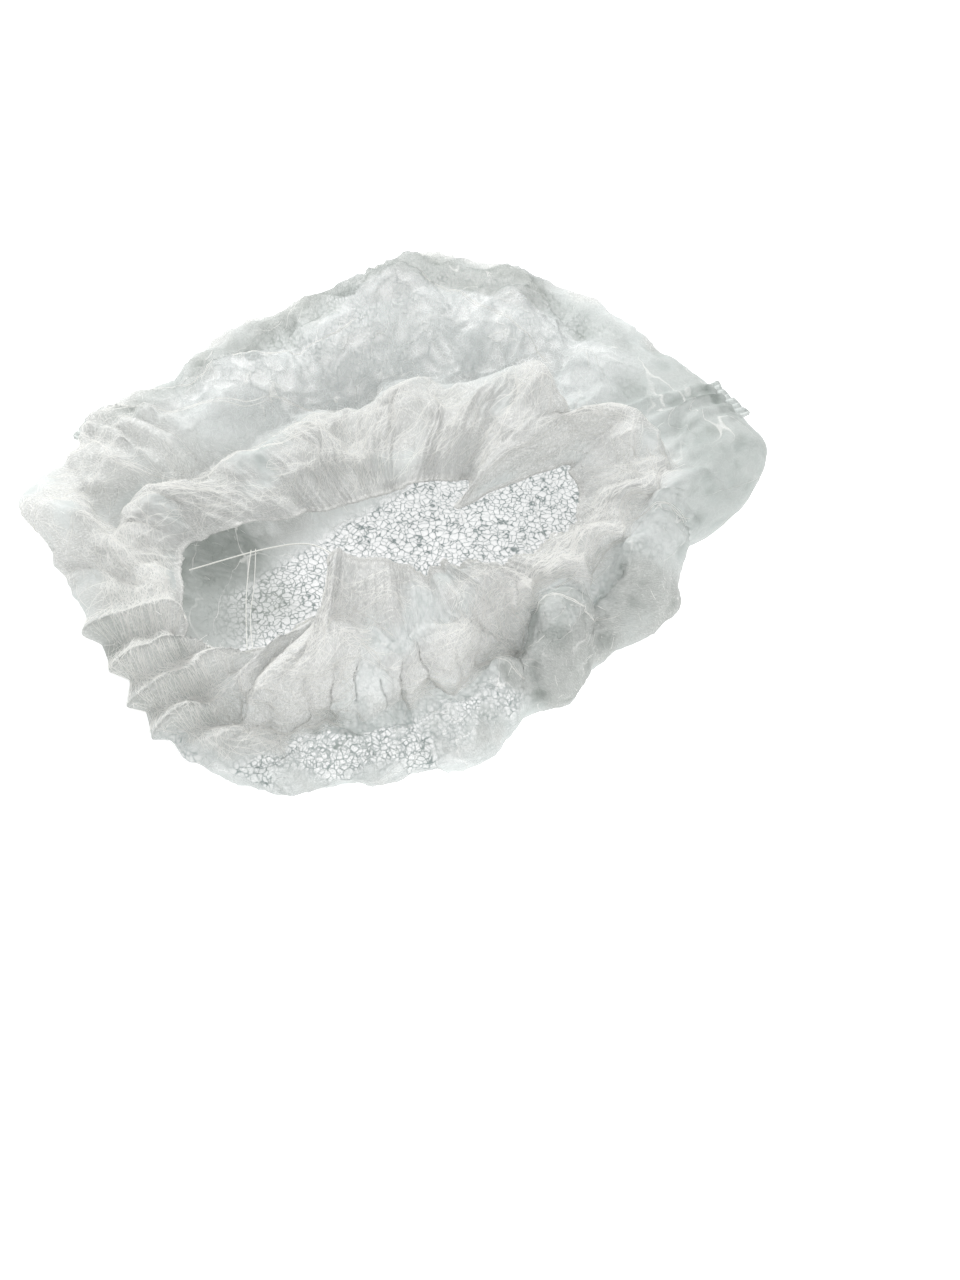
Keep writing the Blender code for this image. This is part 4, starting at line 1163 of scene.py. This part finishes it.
def line_paths(grid):
    """The strands of the pale lines: lists of points."""
    chance = random.Random(STRAND_SEED + 1)
    paths = []
    for line in LINES:
        angles, stations = np.array(line).T
        angles = np.degrees(np.unwrap(np.radians(angles)))
        marks_at = np.arange(len(line))
        for _ in range(LINE_STRANDS):
            shift, slant = chance.gauss(0, LINE_SPREAD), chance.gauss(0, LINE_SPREAD)
            wave = chance.uniform(0, 6)
            path = []
            first, last = chance.uniform(0, 0.3), len(line) - 1 - chance.uniform(0, 0.3)
            for place in np.linspace(first, last, LINE_STEPS):
                angle = np.interp(place, marks_at, angles) + shift
                angle = angle + slant * (place - 1) + 0.3 * math.sin(4 * place + wave)
                path.append(on_cloth(grid, angle, np.interp(place, marks_at, stations), STRAND_ABOVE))
            paths.append(path)
    return paths


def strand_tree():
    """Round strands along the edges of a wire mesh."""
    tree, given = new_tree("strands on cloth", [("Radius", "Float")])
    line = add(tree, "GeometryNodeMeshToCurve", {"Mesh": given["Geometry"]}).outputs[0]
    inputs = {"Resolution": 3, "Radius": given["Radius"]}
    ring = add(tree, "GeometryNodeCurvePrimitiveCircle", inputs).outputs[0]
    tube = add(tree, "GeometryNodeCurveToMesh", {"Curve": line, "Profile Curve": ring}).outputs[0]
    return close_tree(tree, tube, given["Material"])


def run_tree(name, host, tree, values):
    """What a Geometry Nodes tree makes of the host, as a plain mesh object; the host is removed."""
    modifier = host.modifiers.new(name, "NODES")
    modifier.node_group = tree
    for item in tree.interface.items_tree:
        if item.in_out == "INPUT" and item.name in values:
            modifier[item.identifier] = values[item.name]
    mesh = plain_mesh(host)
    mesh.name = name
    return new_object(name, mesh)


def make_strands(name, paths, radius, tree, material):
    """Strands along the given paths."""
    points = [tuple(map(float, point)) for path in paths for point in path]
    edges, first = [], 0
    for path in paths:
        edges += [(first + i, first + i + 1) for i in range(len(path) - 1)]
        first += len(path)
    mesh = bpy.data.meshes.new(name + "_lines")
    mesh.from_pydata(points, edges, [])
    host = new_object(name + "_lines", mesh)
    return run_tree(name, host, tree, {"Radius": radius, "Material": material})


def make_thread(row, material):
    """A fine elastic thread through its points."""
    curve = bpy.data.curves.new(row.name, "CURVE")
    curve.dimensions = "3D"
    curve.bevel_depth = row.radius_mm / 1000
    curve.bevel_resolution = 1
    curve.use_fill_caps = True
    spline = curve.splines.new("NURBS")
    spline.points.add(len(row.points_mm) - 1)
    for point, place in zip(spline.points, row.points_mm):
        point.co = (*[value / 1000 for value in place], 1.0)
    spline.use_endpoint_u = True
    spline.order_u = 3
    spline.resolution_u = 12
    mesh = plain_mesh(new_object(row.name, curve))
    mesh.materials.clear()
    mesh.materials.append(material)
    mesh.shade_smooth()
    return new_object(row.name, mesh)


# Camera, light and floor
ELEVATION = 52.0
DISTANCE = 0.505
LENS = 38.0
AIM = Vector((0.0298, -0.0599, 0.0))
FLOOR_DROP = 0.0003


def make_camera():
    """The photograph's viewing angle."""
    camera = new_object("camera", bpy.data.cameras.new("camera"))
    camera.data.lens = LENS
    camera.data.sensor_width = 36
    camera.data.clip_start = 0.01
    rise = math.radians(ELEVATION)
    back = Vector((0, -math.cos(rise), math.sin(rise)))
    camera.location = AIM + back * DISTANCE
    camera.rotation_euler = (-back).to_track_quat("-Z", "Y").to_euler()
    bpy.context.scene.camera = camera


def make_lamp(name, place, size, power):
    """A soft square lamp that points at the cap."""
    lamp = new_object(name, bpy.data.lights.new(name, "AREA"))
    lamp.data.size = size
    lamp.data.energy = power
    lamp.location = place
    lamp.rotation_euler = (-Vector(place)).to_track_quat("-Z", "Y").to_euler()


def make_studio():
    """A white room: bright even light from all round, a soft lamp behind and above, and a lit white floor."""
    world = bpy.data.worlds.new("studio")
    world.use_nodes = True
    world.node_tree.nodes["Background"].inputs["Color"].default_value = colour("#FFFFFF")
    world.node_tree.nodes["Background"].inputs["Strength"].default_value = 0.84
    bpy.context.scene.world = world
    make_lamp("key", (-0.5, 0.9, 0.75), 0.45, 11.0)
    make_lamp("fill", (0.7, -0.8, 1.1), 0.8, 3.0)
    material, tree, place, output = new_material("white floor")
    cloud = add(tree, "ShaderNodeTexNoise", {"Vector": place, "Scale": 3.0}).outputs[0]
    tint = coats(tree, colour("#F4F5F5"), [(cloud, 1.0, colour("#FAFAFA"))])
    inputs = {"Base Color": tint, "Roughness": 0.7}
    inputs |= {"Emission Color": colour("#FFFFFF"), "Emission Strength": 0.45}
    face = add(tree, "ShaderNodeBsdfPrincipled", inputs).outputs[0]
    tree.links.new(face, output.inputs["Surface"])
    corners = [(x, y, -FLOOR_DROP) for x, y in ((-3, -3), (3, -3), (3, 3), (-3, 3))]
    new_piece("floor", corners, [(0, 1, 2, 3)], material, smooth=False)
    bpy.context.scene.view_settings.view_transform = "Standard"
    cycles = bpy.context.scene.cycles
    cycles.transparent_max_bounces = 8
    cycles.max_bounces = 4
    cycles.diffuse_bounces = 2
    cycles.transmission_bounces = 2


def main():
    """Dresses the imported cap."""
    noise.seed_set(NOISE_SEED)
    make_camera()
    make_studio()
    nonwoven = make_nonwoven()
    thread = make_thread_material()
    weld = make_weld_material()
    fibre = make_fibre_material()
    grid = cloth_grid()
    cloth = make_cloth(grid, nonwoven)
    hems = make_hems(grid, nonwoven, thread)
    welds = {
        "left_weld": make_weld("left_weld_strip", LEFT_WELD_ANGLE, weld),
        "right_weld": make_weld("right_weld_strip", RIGHT_WELD_ANGLE, weld),
    }
    fibrous = np.append(grid.marks["fibrous"].ravel(), 0.0)
    tree = fibre_tree()
    settings = {"Density": 8e4, "Length": 0.0040, "Width": 0.00015, "Sway": 0.9, "Seed": 4, "Material": fibre}
    fibres = grow_fibres("rim_fibres", cloth, fibrous**2, tree, settings)
    wire = strand_tree()
    strands = make_strands("rim_strands", strand_paths(grid), STRAND_RADIUS, wire, fibre)
    lines = make_strands("drawn_lines", line_paths(grid), LINE_RADIUS, wire, fibre)
    threads = [make_thread(row, thread) for row in THREADS]

    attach(cloth, "root")
    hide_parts("crown")
    for node, piece in {**hems, **welds}.items():
        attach(piece, "root")
        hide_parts(node)
    for piece in threads:
        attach(piece, "root")
    for piece in (fibres, strands, lines):
        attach(piece, "root")
    for piece in (fibres, strands, lines, *hems.values()):
        piece.visible_shadow = False
        piece.visible_diffuse = False


main()
